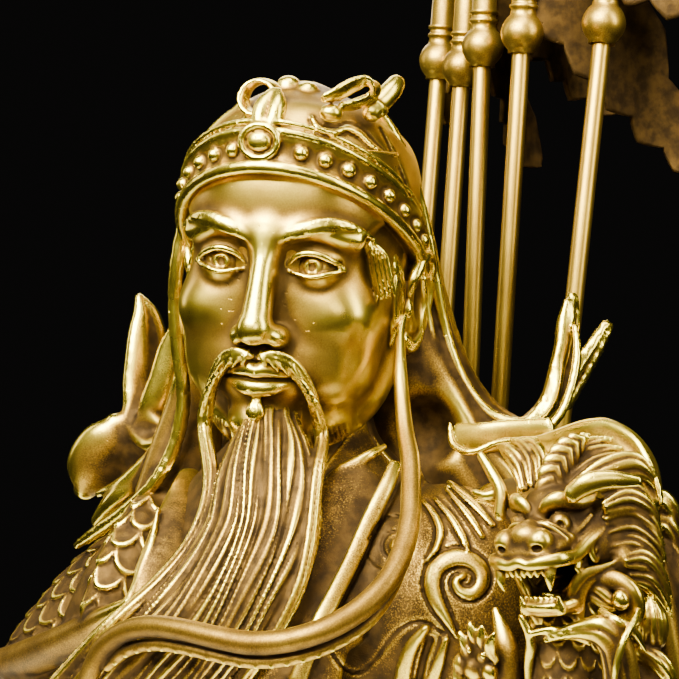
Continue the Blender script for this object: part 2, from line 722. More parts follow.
def brass(name, dark=1.0, grain=1.0, polish=1.0, wear=0.0, bump=0.00011):
    """A finish of old brass. More wear lays more of the gold bare, less leaves more of the coat."""
    made = bpy.data.materials.new(name)
    made.use_nodes = True
    tree = made.node_tree
    shader = tree.nodes["Principled BSDF"]
    group = linked(tree, "ShaderNodeGroup", (-500, 0), node_tree=OLD_BRASS)
    for title in ("Fine", "Fold", "Deep"):
        reader = linked(tree, "ShaderNodeAttribute", (-900, 0), attribute_name=title.lower())
        tree.links.new(reader.outputs["Fac"], group.inputs[title])
    where = linked(tree, "ShaderNodeTexCoord", (-900, -300))
    tree.links.new(where.outputs["Object"], group.inputs["Place"])
    for title, value in (("Dark", dark), ("Grain", grain), ("Polish", polish), ("Wear", wear)):
        group.inputs[title].default_value = value
    lump = linked(tree, "ShaderNodeBump", (-200, -300))
    lump.inputs["Strength"].default_value = 0.8
    lump.inputs["Distance"].default_value = bump
    tree.links.new(group.outputs["Height"], lump.inputs["Height"])
    tree.links.new(lump.outputs["Normal"], shader.inputs["Normal"])
    tree.links.new(group.outputs["Color"], shader.inputs["Base Color"])
    tree.links.new(group.outputs["Roughness"], shader.inputs["Roughness"])
    tree.links.new(group.outputs["Metallic"], shader.inputs["Metallic"])
    return made


SKIN_BRASS = brass("brass of the face", dark=0.85, grain=0.3, wear=0.18)
CLOTH_BRASS = brass("brass of the cloth", grain=0.6, wear=-0.34)
SASH_BRASS = brass("brass of the sash", grain=0.4, wear=-0.6)
GUARD_BRASS = brass("brass of the guard", grain=0.5, wear=-0.3)
HAIR_BRASS = brass("brass of the hair", grain=0.4, wear=-0.4)
SANDY_BRASS = brass("brass left sandy", grain=1.4, polish=0.95, wear=-0.58)
print("finishes:", [m.name for m in bpy.data.materials if m.users])

# %% [markdown]
# ## The face
#
# The face is smooth and calm, and laid out on plain thirds: brow, nose and chin a third of the
# face apart, and the eyes half way down the head. It is pressed together from a long egg of a
# skull, cheeks, muzzle and chin, and each eye is a ball in a socket under two lids. The outer
# wax is cut away between the lids, down to the ball.

# %% Face
SIDES = (-1, 1)
EYE_OUT, EYE_FRONT, EYE_HEIGHT, EYEBALL = 11.2, -26.0, 130.2, 5.75


def mirrored(*half):
    """A path from the right side to the middle, and on to the left side the same way."""
    return [*half, *([-x, *rest] for x, *rest in half[-2::-1])]


def eye(clay, side):
    middle = np.array([side * EYE_OUT, EYE_FRONT, EYE_HEIGHT])
    clay.ball((side * 11.6, -37.2, 130.6), (9.6, 6.6, 6.0), soft=5.0, carve=True)
    clay.ball(middle, (6.5, 6.5, 6.3), soft=1.2)
    cut, x, y, z = clay.near(middle - 8, middle + 8)
    ball = np.sqrt((x - middle[0]) ** 2 + (y - middle[1]) ** 2 + (z - middle[2]) ** 2) - EYEBALL
    # the opening between the lids, an almond that is fuller above
    along = (x - middle[0]) * side / 6.4
    centre = middle[2] + 0.35 + 0.9 * along * (along < 0) + 0.15 * along
    bow = np.sqrt(np.clip(1 - along**2, 0, 1)) ** 1.3
    opening = np.maximum(z - centre - 2.7 * bow, centre - 1.9 * bow - z)
    opening = np.maximum(opening, np.where(np.abs(along) > 1, 1.0, -9.0))
    opening = np.maximum(opening, y - middle[1] + 1.5)
    clay.carve(cut, np.maximum(opening, -ball).astype(np.float32), 0.25)
    # the ring of the iris and the drilled pupil
    rim = np.hypot(x - middle[0] + 0.1 * side, z - middle[2] - 0.1)
    iris = 0.34 * np.clip(1 - np.abs(rim - 2.35) / 0.4, 0, 1) + 0.75 * np.clip((1.15 - rim) / 0.35, 0, 1)
    here = clay.depth[cut]
    front = (y < middle[1] - 3.5) & (here > -2.0)
    clay.depth[cut] = here + np.where(front, iris, 0).astype(np.float32)
    lids = ((-0.7, 3.3, -0.1, 0.55, 0.75), (-0.9, -2.3, -0.5, 0.25, 0.5))
    for z_in, z_mid, z_out, lift, thick in lids:
        lid = [
            [side * 4.6, -30.3, middle[2] + z_in, 0.35, 0.3],
            [side * 7.4, -31.8 - lift, middle[2] + 0.72 * z_mid, thick, thick],
            [side * 11.4, -32.3 - lift, middle[2] + z_mid, thick, thick],
            [side * 15.2, -30.9 - lift, middle[2] + 0.62 * z_mid, thick, thick],
            [side * 18.3, -28.2, middle[2] + z_out, 0.4, 0.35],
        ]
        clay.sweep(lid, across=UPWARD, soft=0.7)
    fold_line = [
        [side * 5.2, -31.5, middle[2] + 2.8, 0.3, 0.3],
        [side * 10.5, -33.0, middle[2] + 5.4, 0.35, 0.35],
        [side * 16.0, -31.0, middle[2] + 4.2, 0.35, 0.35],
        [side * 20.0, -27.4, middle[2] + 1.0, 0.2, 0.2],
    ]
    clay.sweep(fold_line, across=UPWARD, soft=0.8, carve=True)


def ear(clay, side):
    clay.ball((side * 26.5, 4, 121), (3.2, 6.5, 11.5), soft=1.5)
    helix = [
        [side * 26.5, -1.5, 121, 1.2, 1.2],
        [side * 28.8, -2.6, 127, 1.5, 1.4],
        [side * 30.3, 1.0, 132.4, 1.7, 1.5],
        [side * 30.8, 6.6, 131.4, 1.7, 1.5],
        [side * 30.4, 9.6, 125.0, 1.5, 1.4],
        [side * 29.4, 8.4, 117.0, 1.5, 1.4],
        [side * 27.6, 3.2, 110.4, 2.2, 2.2],
        [side * 26.6, -0.6, 112.0, 1.6, 1.6],
    ]
    clay.sweep(helix, across=LEFTWARD, soft=0.9)
    clay.ball((side * 30.4, 2.5, 121.5), (2.4, 3.2, 5.6), soft=1.2, carve=True)
    clay.ball((side * 27.6, -2.4, 119.5), (1.6, 1.8, 2.6), soft=0.8)
    inner = [[side * 29.2, 5.4, 115, 0.9, 0.9], [side * 29.8, 6.8, 121, 0.9, 0.9],
             [side * 29.8, 4.6, 127, 0.9, 0.9]]
    clay.sweep(inner, across=LEFTWARD, soft=0.8)


def on_head(*points):
    """Picture points with their depth, turned into the head's frame."""
    return [list(HEAD.into(p[:3])) + p[3:] for p in seen(*points)]


def brow_hair(clay, side):
    brow = [
        [side * 4.0, -33.8, 136.6, 1.0, 0.8],
        [side * 9.0, -34.2, 138.6, 1.8, 1.2],
        [side * 14.5, -32.2, 140.2, 1.9, 1.2],
        [side * 19.5, -28.5, 139.8, 1.3, 1.0],
        [side * 24.0, -23.4, 137.2, 0.4, 0.4],
    ]
    clay.sweep(brow, across=UPWARD, soft=0.9, relief=strands(9, 0.3, 0.4, 14))


def moustache(clay, side):
    short = [
        [side * 0.9, -36.8, 109.0, 0.8, 0.8],
        [side * 4.2, -36.8, 109.2, 1.9, 1.1],
        [side * 8.4, -34.4, 107.0, 2.2, 1.2],
        [side * 12.0, -31.0, 101.0, 1.7, 1.3],
        [side * 13.6, -28.6, 93.5, 1.4, 1.3],
        [side * 14.4, -26.8, 86.0, 1.3, 1.3],
    ]
    clay.sweep(short, across=(0, -0.3, 1), soft=0.5, relief=strands(6, 0.4, 0.2, 30))
    # short hairs fan out over it below the nose
    for k in range(4):
        clay.sweep([[side * (1.3 + 1.8 * k), -37.2 + 0.7 * k, 110.3 - 0.2 * k, 0.4, 0.4],
                    [side * (2.1 + 2.2 * k), -37.9 + 0.8 * k, 108.6 - 0.5 * k, 0.6, 0.5],
                    [side * (3.0 + 2.5 * k), -37.4 + 1.0 * k, 106.9 - 1.0 * k, 0.35, 0.35]], soft=0.25)


def face():
    clay = Clay("face", (-34, -46, 82), (34, 16, 158), step=0.5, place=HEAD)
    skull = [
        [0, -19, 86.5, 7, 7],
        [0, -14.5, 92, 15.5, 16],
        [0, -9.5, 101, 21.6, 22.6],
        [0, -5.4, 114, 25, 27.2],
        [0, -1.8, 130, 27, 31.9],
        [0, 0, 146, 27.4, 34],
        [0, 1, 162, 24, 30],
    ]
    clay.sweep(skull, across=LEFTWARD, steps=60, square=2.25)
    for side in SIDES:
        clay.ball((side * 15.5, -21.0, 118.5), (8.6, 8.6, 8.0), soft=6)
        clay.ball((side * 13.5, -18.0, 105.5), (8.6, 9.5, 9.0), soft=6)
        clay.sweep([[side * 23, 2, 108, 3, 4], [side * 19.5, -7, 97, 3, 4], [side * 11, -18, 90, 3, 4]],
                   soft=6, across=LEFTWARD)
        clay.sweep([[side * 2, -32.0, 136.6, 2.2, 1.8], [side * 11, -32.2, 138.2, 2.6, 2.2],
                    [side * 20, -26.5, 136.8, 2.0, 2.0]], across=UPWARD, soft=3.5)
        clay.ball((side * 24.5, -14.5, 133), (3, 8, 6.5), soft=4, carve=True)
    clay.ball((0, -25.2, 104.6), (12.5, 9.4, 9.6), soft=5)
    clay.ball((0, -26.6, 92.6), (8.8, 7.2, 5.6), soft=4.5)
    clay.ball((0, -37.0, 97.6), (7.5, 3.6, 2.3), soft=2.5, carve=True)
    for side in SIDES:
        eye(clay, side)
    bridge = [
        [0, -31.8, 139, 3.2, 2.6],
        [0, -33.0, 131.5, 2.9, 3.4],
        [0, -35.2, 123.5, 3.2, 4.0],
        [0, -37.4, 117.0, 3.7, 4.0],
    ]
    clay.sweep(bridge, soft=3.2, across=LEFTWARD)
    clay.ball((0, -38.6, 115.2), (3.9, 3.7, 3.5), soft=2.0)
    for side in SIDES:
        clay.ball((side * 4.3, -34.4, 113.6), (2.7, 4.2, 2.7), soft=2.4)
        clay.ball((side * 2.6, -37.2, 110.9), (1.5, 2.3, 1.5), soft=0.6, carve=True)
        clay.sweep([[side * 8.4, -34.6, 116.6, 0.4, 0.4], [side * 8.9, -34.0, 113.0, 0.5, 0.5],
                    [side * 7.4, -33.4, 110.6, 0.3, 0.3]], soft=1.2, carve=True, across=LEFTWARD)
        clay.sweep([[side * 9.6, -34.4, 114.8, 0.5, 0.5], [side * 13.2, -32.6, 108.6, 0.7, 0.7],
                    [side * 14.2, -30.6, 102.6, 0.4, 0.4]], soft=2.6, carve=True, across=LEFTWARD)
    upper = mirrored([-8.8, -30.6, 104.0, 0.5, 0.5], [-5.2, -33.6, 105.2, 1.5, 1.3],
                     [-1.8, -35.3, 106.0, 1.9, 1.6], [0, -35.4, 105.4, 1.8, 1.6])
    lower = mirrored([-7.6, -31.0, 103.2, 0.6, 0.6], [-4.0, -33.8, 101.9, 1.8, 1.5],
                     [0, -34.9, 101.5, 2.1, 1.8])
    clay.sweep(upper, across=UPWARD, soft=0.6)
    clay.sweep(lower, across=UPWARD, soft=0.6)
    between = mirrored([-8.6, -31.4, 103.7, 0.3, 0.5], [-4, -35.2, 103.7, 0.45, 1.2],
                       [0, -36.6, 103.5, 0.5, 1.4])
    clay.sweep(between, across=UPWARD, soft=0.4, carve=True)
    clay.sweep([[0, -37.4, 110.2, 1.0, 0.6], [0, -36.9, 107.4, 1.0, 0.6]], soft=1.0, carve=True,
               across=LEFTWARD)
    for side in SIDES:
        brow_hair(clay, side)
        ear(clay, side)
        moustache(clay, side)
        temple = [[side * 24.9, -9.5, 134, 1.2, 0.8], [side * 26.2, -6.8, 126, 3.2, 1.2],
                  [side * 25.9, -6.5, 117, 2.8, 1.2], [side * 25.0, -6.2, 111, 0.8, 0.6]]
        clay.sweep(temple, across=(0.2, 1, 0), soft=0.5, relief=strands(12, 0.45, 0.2))
    clay.sweep(on_head((371, 242, -14, 0.8, 0.5), (378, 256, -12, 2.2, 0.6), (383, 276, -11, 2.4, 0.6),
                       (386, 296, -10, 1.6, 0.5)), soft=0.8)
    for k in range(5):
        x = 4.4 * (k - 2)
        clay.sweep(on_head((374 + x, 243 + 2 * k, -14.6, 0.4, 0.4), (378 + x, 258, -13.2, 0.6, 0.6),
                           (382 + x, 278, -12.2, 0.6, 0.6), (386 + x, 300 - k, -11, 0.4, 0.4)), soft=0.3)
    tuft = [[0, -34.2, 98.6, 1.2, 1.0], [0, -35.0, 95.6, 2.4, 1.5], [0, -34.2, 91.6, 0.6, 0.6]]
    clay.sweep(tuft, soft=0.5, relief=strands(8, 0.4, 0.1), across=LEFTWARD)
    return clay


cast(face(), SKIN_BRASS, fine=0.7)

# %% [markdown]
# ## The cap
#
# Over the brow sits a cap with a tilted band: a thick roll below, a thin rim above, and round
# beads in the channel between. In front a framed gem carries a bud, and two rolled loops lie
# over the crown. The band is one path round the head, and the rolls, the channel and the beads
# all follow it.

# %% Cap
BAND_FRONT, BAND_BACK, BAND_WIDE, BAND_LONG = 157.0, 116.0, 28.6, 35.0
BEADS, BAND_STEPS = 34, 48


def on_band(angle, out, lift):
    """A point of the tilted band, at an angle round the head from the front."""
    middle, slope = (BAND_FRONT + BAND_BACK) / 2, (BAND_FRONT - BAND_BACK) / 2
    return [(BAND_WIDE + out) * math.sin(angle), -(BAND_LONG + out) * math.cos(angle),
            middle + slope * math.cos(angle) + lift]


def round_band(clay, out, lift, wide, thick, carve=False):
    """A roll or a channel all the way round the band."""
    angles = [2 * math.pi * (k / BAND_STEPS) for k in range(BAND_STEPS + 1)]
    rows = [on_band(a, out, lift) + [wide, thick] for a in angles]
    clay.sweep(rows, across=UPWARD, soft=0.3, carve=carve, steps=BAND_STEPS)


def cap():
    clay = Clay("cap", (-37, -44, 112), (37, 40, 178), step=0.53, place=HEAD)
    dome = [
        [0, 1, 132, 27, 33], [0, 1, 146, 28, 34], [0, 1, 154, 27, 32.4], [0, 1, 161, 23.4, 28.8],
        [0, 1.5, 166.6, 16.8, 21.8], [0, 2, 169.8, 9.5, 13.5], [0, 2.5, 171.2, 2.6, 4],
    ]
    clay.sweep(dome, across=LEFTWARD, steps=54)
    round_band(clay, -0.6, 0, 5.0, 2.6)
    round_band(clay, 3.0, 0.3, 3.1, 1.9, carve=True)
    round_band(clay, 1.3, -4.2, 1.7, 1.7)
    round_band(clay, 1.0, 4.2, 1.0, 1.1)
    round_band(clay, 0.7, 6.4, 0.7, 0.8)
    for n in range(BEADS):
        angle = (n + 0.5) / BEADS * 2 * math.pi
        if min(angle, 2 * math.pi - angle) > 0.24:
            clay.ball(on_band(angle, 1.35, 0.1), (1.75, 1.75, 1.75), soft=0.15)
            clay.ball(on_band(angle, 2.9, 0.1), (0.45, 0.45, 0.45), soft=0.2)
    # the framed gem and the two-lobed bud above it
    gem = np.array(on_band(-0.05, 0, 1.6))
    clay.ball(gem, (5.0, 2.6, 4.3), soft=0.7)
    clay.ball(gem + [0, -2.2, 0], (3.6, 1.4, 3.0), soft=0.1, carve=True)
    clay.ball(gem + [0, -1.4, 0], (3.1, 1.9, 2.5))
    clay.sweep([[gem[0] + 4.4 * math.cos(a), gem[1] - 1.9, gem[2] + 3.8 * math.sin(a), 0.8, 0.8]
                for a in np.linspace(0, 2 * math.pi, 15)], across=BACKWARD, soft=0.2, steps=42)
    for side in SIDES:
        half = [
            [side * 1.2 - 0.6, -35.2, 161.6, 1.4, 1.8], [side * 1.7 - 0.5, -34.0, 164.2, 2.2, 2.4],
            [side * 1.5 - 0.3, -32.0, 167.4, 2.1, 2.3], [side * 0.6 - 0.1, -30.0, 170.4, 0.9, 1.1],
        ]
        clay.sweep(half, across=LEFTWARD, soft=0.2)
    # right loop, an open ring of ribbon, with three soft knots behind it
    ring = [[-5.6 - 4.2 * math.cos(a), -24.0 + 1.5 * math.sin(a), 168.8 + 4.0 * math.sin(a), 2.4, 0.75]
            for a in np.linspace(0, 2 * math.pi, 13)]
    clay.sweep(ring, across=(0.3, 1, 0), soft=0.3, steps=36)
    for x, y, z, r in ((-2.5, -12, 172.2, 2.9), (2.6, -13.0, 171.2, 2.6), (-11, -17, 166.4, 2.6)):
        clay.ball((x, y, z), (r, r, r * 0.9), soft=1.0)
    # left loop, long and flat, and beside it the end of the ribbon, rolled up like a small horn with a collar
    loop = on_head((324, 98, -22, 1.6, 0.8), (338, 93, -19, 2.6, 0.85), (354, 85, -15, 2.6, 0.85),
                   (367, 82, -12, 2.6, 0.9), (375, 89, -10, 2.4, 0.9), (370, 98, -10, 2.2, 0.85),
                   (356, 104, -13, 2.2, 0.8), (340, 107, -17, 1.6, 0.8))
    clay.sweep(loop, across=(0.3, 1, -0.2), soft=0.3, steps=36)
    horn = on_head((372, 112, -7, 2.5, 2.4), (381, 102, -4, 2.6, 2.5), (391, 91, -1, 2.6, 2.5),
                   (396, 84, 1, 2.2, 2.2))
    clay.sweep(horn, across=BACKWARD, soft=0.5)
    clay.sweep(on_head((374, 110, -6, 3.1, 3.0), (379, 104, -5, 3.1, 3.0)), across=BACKWARD, soft=0.2,
               flat_ends=True)
    # cloud scroll on the left, folds of the cloth on the right, and the line above the band
    low, high = (-37, -44, 122), (37, 14, 178)
    cloud = [(312, 118, 0.6), (319, 128, 0.9), (334, 132, 1.0), (348, 128, 1.0), (361, 134, 1.0),
             (371, 144, 0.8), (382, 152, 0.4)]
    drawn(clay, low, high, [cloud], 3.6, 0.8)
    clay.ball(on_head((331, 113, -19))[0], (2.8, 2.8, 2.2), soft=0.4)
    drawn(clay, low, high, outlines(cloud, 4.8), 1.2, -0.45, "groove")
    for line in (((194, 166, -14), (204, 142, -18), (222, 122, -20), (242, 108, -20)),
                 ((206, 176, -20), (216, 152, -24), (232, 132, -26), (248, 120, -26))):
        clay.sweep([p + [1.2, 1.0] for p in on_head(*line)], soft=1.2)
    drawn(clay, low, high, [[(380, 128), (390, 148), (401, 172), (410, 198)]], 1.8, -0.5, "groove")
    return clay


cast(cap(), SKIN_BRASS, fine=0.7)

# %% [markdown]
# ## The hood
#
# A cloth hood hangs from the back of the cap over the shoulders. Its front edge is a soft roll
# beside the face. On the left its end swings out and up in two pointed tips, and on the right in
# one broad leaf over a rounded lobe. Folds run down it, deepest near the hem.

# %% Hood
def cloth_folds(count, depth, start, full):
    """The relief of folds that grow from nothing at start to their depth at full, in mm of the length."""
    def relief(s, turn):
        grows = np.clip((s - start) / (full - start), 0, 1)
        wave = np.cos(count * turn + 0.5 * np.sin(2 * turn) + 0.012 * s)
        return depth * grows * (np.abs(wave) ** 1.6 - 0.55)
    return relief


def edge(clay, *points, wide=1.3, thick=1.3, soft=0.4, tip=0.6, relief=None, steps=None):
    """A rolled hem or cord through picture points with their depth."""
    rows = seen(*points)
    for k, row in enumerate(rows):
        share = tip if k in (0, len(rows) - 1) else 1.0
        row[3:] = [wide * share, thick * share]
    clay.sweep(rows, soft=soft, relief=relief, steps=steps or 7 * (len(rows) - 1))


def hood():
    clay = Clay("hood", (-92, -20, 0.4), (66, 72, 176), step=0.88)
    fall = [[-2, 16, 169, 1.5, 1.5], [-2, 16, 168.2, 7, 8], [-2, 16, 165, 13, 13.5],
            [-2, 16.5, 158, 18.5, 17.5], [-2, 18, 146, 23, 20], [-2, 20, 126, 26, 18],
            [-1, 22, 109, 29, 17], [0, 25, 95, 35, 16], [0, 29, 80, 46, 17], [0, 33, 62, 60, 20],
            [0, 36, 36, 72, 25], [0, 37, -6, 76, 28]]
    clay.sweep(fall, across=LEFTWARD, steps=80, relief=cloth_folds(7, 1.6, 60, 120))
    clay.sweep(seen((198, 300, 2, 3, 3), (196, 380, 2, 6, 5), (188, 440, 1, 9, 6), (172, 500, -3, 10, 6)),
               soft=2)
    left_tail = [
        [21, 22, 140, 5, 2.2], [24, 26, 118, 6, 2.0], [28, 30, 101, 7, 2.0], [35, 33, 91, 7.5, 2.1],
        [43, 36, 87.5, 7.5, 2.3], [49, 40, 93, 5.4, 2.3], [51, 43, 104, 4.6, 2.4], [51.5, 46, 114, 3.6, 2.2],
        [51, 48, 120, 1.8, 1.6],
    ]
    second_tip = [[51, 43, 94, 4, 2.2], [55, 50, 105, 3.2, 2.0], [57.4, 55, 112.5, 2.0, 1.6]]

    def crease(s, turn):
        middle_line = np.exp(-((np.abs(np.sin(turn)) - 1) / 0.02) ** 2)
        return -0.8 * middle_line - 0.45 * (1 - np.abs(np.cos(3 * turn))) ** 1.5

    clay.sweep(left_tail, across=BACKWARD, soft=1.5, steps=34, relief=crease)
    clay.sweep(second_tip, across=(0.4, 1, 0), soft=1.2, relief=crease)
    # the rolled front edge on the left, and its inner fold
    edge(clay, (381, 112, 4), (394, 135, 7), (408, 165, 11), (420, 203, 16), (430, 247, 19),
         (437, 290, 21), (445, 330, 23), (456, 365, 24), (470, 392, 26), (488, 412, 28), (510, 422, 30),
         (532, 421, 33), (548, 409, 36), (556, 388, 38), (560, 355, 41), (562, 325, 43), (567, 301, 45),
         wide=1.5, thick=1.5)
    edge(clay, (398, 160, 6), (411, 205, 11), (419, 252, 15), (425, 300, 18), (434, 345, 20),
         (447, 382, 22), (463, 408, 24), (486, 428, 26), (512, 436, 28), (538, 433, 31), (558, 418, 34),
         (570, 392, 37), (577, 358, 40), (575, 325, 43), wide=1.2, thick=1.2)
    clay.ball(seen((424, 432, 12))[0], (8, 9, 9), soft=3, carve=True)
    edge(clay, (440, 395, 22), (458, 420, 22), (482, 437, 24), (512, 444, 26), (540, 441, 29), wide=1.0,
         thick=1.0)
    right_tail = [[-24, 4, 118, 4, 3], [-31, 7, 101, 5.5, 3], [-42, 10, 87, 7, 3],
                  [-54, 14, 79.5, 8.5, 3.2], [-62.5, 17, 83, 8.6, 3.4], [-66, 19.4, 93, 8.6, 3.6],
                  [-67.2, 20.4, 103, 7.2, 3.2], [-68.6, 21.2, 111.5, 4.8, 2.4],
                  [-70.4, 20.5, 117, 1.4, 1.4]]

    def valley(s, turn):
        return -0.5 * np.exp(-((np.abs(np.sin(turn)) - 1) / 0.06) ** 2)

    clay.sweep(right_tail, across=(0.2, 1, 0.2), soft=1.5, steps=60, relief=valley)
    clay.sweep(seen((175, 328, 14, 1.6, 1.2), (171, 348, 14, 3.4, 2.0), (164, 378, 13, 4.0, 2.4),
                    (154, 404, 12, 4, 2.6), (146, 424, 12, 3, 2)), soft=1.0)
    clay.sweep(seen((160, 424, 12, 5, 2), (144, 446, 12, 7, 2.4), (126, 468, 12, 7.5, 2.4),
                    (108, 490, 11, 5, 2)), soft=1.5)
    clay.sweep(seen((115, 423, 9, 2.8, 2.6), (107, 438, 8, 6.2, 3.8), (97, 458, 8, 7.6, 4.6),
                    (90, 476, 8, 6.8, 4.4), (85, 489, 8, 3.2, 3.0)), soft=3)
    # the same edge on the right hangs beside the cheek and spreads over the shoulder
    edge(clay, (182, 222, -12), (177, 262, -12), (175, 305, -11), (178, 350, -10), (183, 385, -9),
         (182, 415, -8), (172, 452, -9), (152, 486, -12), (124, 512, -13), (98, 531, -12), (77, 545, -10),
         wide=2.0, thick=2.0, relief=strands(6, 0.5, 0.2, 60))
    edge(clay, (176, 380, -3), (170, 420, -2), (152, 455, -3), (126, 480, -4), (98, 494, -3), wide=1.6,
         thick=1.6)
    clay.sweep(seen((178, 400, 2, 1.5, 3), (166, 445, 0, 3, 3.4), (142, 478, -2, 3.6, 3.4),
                    (116, 502, -4, 3.4, 3.4), (98, 520, -3, 1.8, 2)), soft=1.5)
    return clay


cast(hood(), CLOTH_BRASS, fine=1.0, fold=3.0)

# %% [markdown]
# ## The beard
#
# The beard falls from the chin in long locks, each parted into strands, and sweeps to the right
# hand's side. Two thick strands of the moustache lie along its edges. It is one swept form and
# its hair is a relief on it, so each lock keeps its place from the chin to the tip.

# %% Beard
BEARD = [
    [11, -27, 91, 8, 7], [16, -35, 81, 13, 8], [18.5, -41, 68, 14.5, 9], [15, -48, 55, 15, 9],
    [7, -53, 44, 15, 9], [-6, -57, 33, 15, 8.7], [-22, -57.6, 21, 14, 7.8], [-38, -55.6, 10, 11, 7],
    [-52, -52, 0, 7, 5],
]
BEARD_ACROSS, BEARD_STEPS = (0.9, 0.34, 0.25), 200


def beard_side(t, share):
    """A point on the front of the beard, t of the way along and share of the half width out."""
    rows = catmull(BEARD, BEARD_STEPS)
    k = int(round(t * BEARD_STEPS))
    path = unit(rows[min(BEARD_STEPS, k + 1), :3] - rows[max(0, k - 1), :3])
    wide = np.array(BEARD_ACROSS)
    wide = unit(wide - path * (wide @ path))
    front = np.cross(path, wide)
    x, y, z, width, thick = rows[k]
    deep = thick * math.sqrt(max(0.0, 1 - share * share))
    return np.array([x, y, z]) + share * width * wide + deep * front


def beard_hair(s, turn):
    """Broad locks, each parted into strands of uneven strength that wander a little."""
    wave = turn + 0.07 * np.sin(0.06 * s + 3 * turn) + 0.03 * np.sin(0.15 * s + 9 * turn)
    lock_lines = 1 - np.abs(np.sin(6.5 * wave + 0.9 * np.sin(0.035 * s)))
    hair_lines = 1 - np.abs(np.sin(20 * wave + 1.3 * np.sin(2 * turn + 0.05 * s)))
    uneven = 0.65 + 0.35 * np.sin(7 * turn + 0.04 * s + 1.3)
    return -(0.8 * lock_lines**2 + 1.2 * uneven * hair_lines**1.2)


def beard():
    clay = Clay("beard", (-64, -72, 0), (40, -12, 112), step=0.5)
    clay.sweep(BEARD, across=BEARD_ACROSS, steps=70, relief=beard_hair)
    for side in SIDES:
        lip = [HEAD.out([side * x, y, z])
               for x, y, z in ((9.6, -34, 105.0), (13.2, -30.8, 98.0), (14.6, -28.0, 90.0))]
        hanging = [beard_side(t, side * 0.97) for t in (0.14, 0.3, 0.45, 0.6, 0.8, 0.98)]
        rows = [list(p) + [2.2, 1.7] for p in lip + hanging]
        rows[0][3:], rows[1][3:], rows[2][3:] = [1.0, 0.9], [1.5, 1.3], [1.8, 1.5]
        clay.sweep(rows, across=BEARD_ACROSS, soft=0.3, steps=60, relief=strands(7, 0.5, 0.15, 60))
    return clay


cast(beard(), HAIR_BRASS, fine=0.7)

# %% [markdown]
# ## Chest, arms and sash
#
# The robe is a broad trunk whose left half laps over the right with a rolled edge, under a
# collar. Its left front is seen best, so it has a finer skin of its own, drawn with scrolls,
# plumes and leaves. The sash is a bundle of cords that comes down from behind the ear and runs
# over the end of the beard. A sleeve and a short cape cover the left arm.

# %% Chest
BREAST_LOW, BREAST_HIGH = np.array([16.0, -54.0, 24.0]), np.array([79.0, 6.0, 93.0])
BREAST_COVER, BREAST_SHELL = 1.3, 2.6


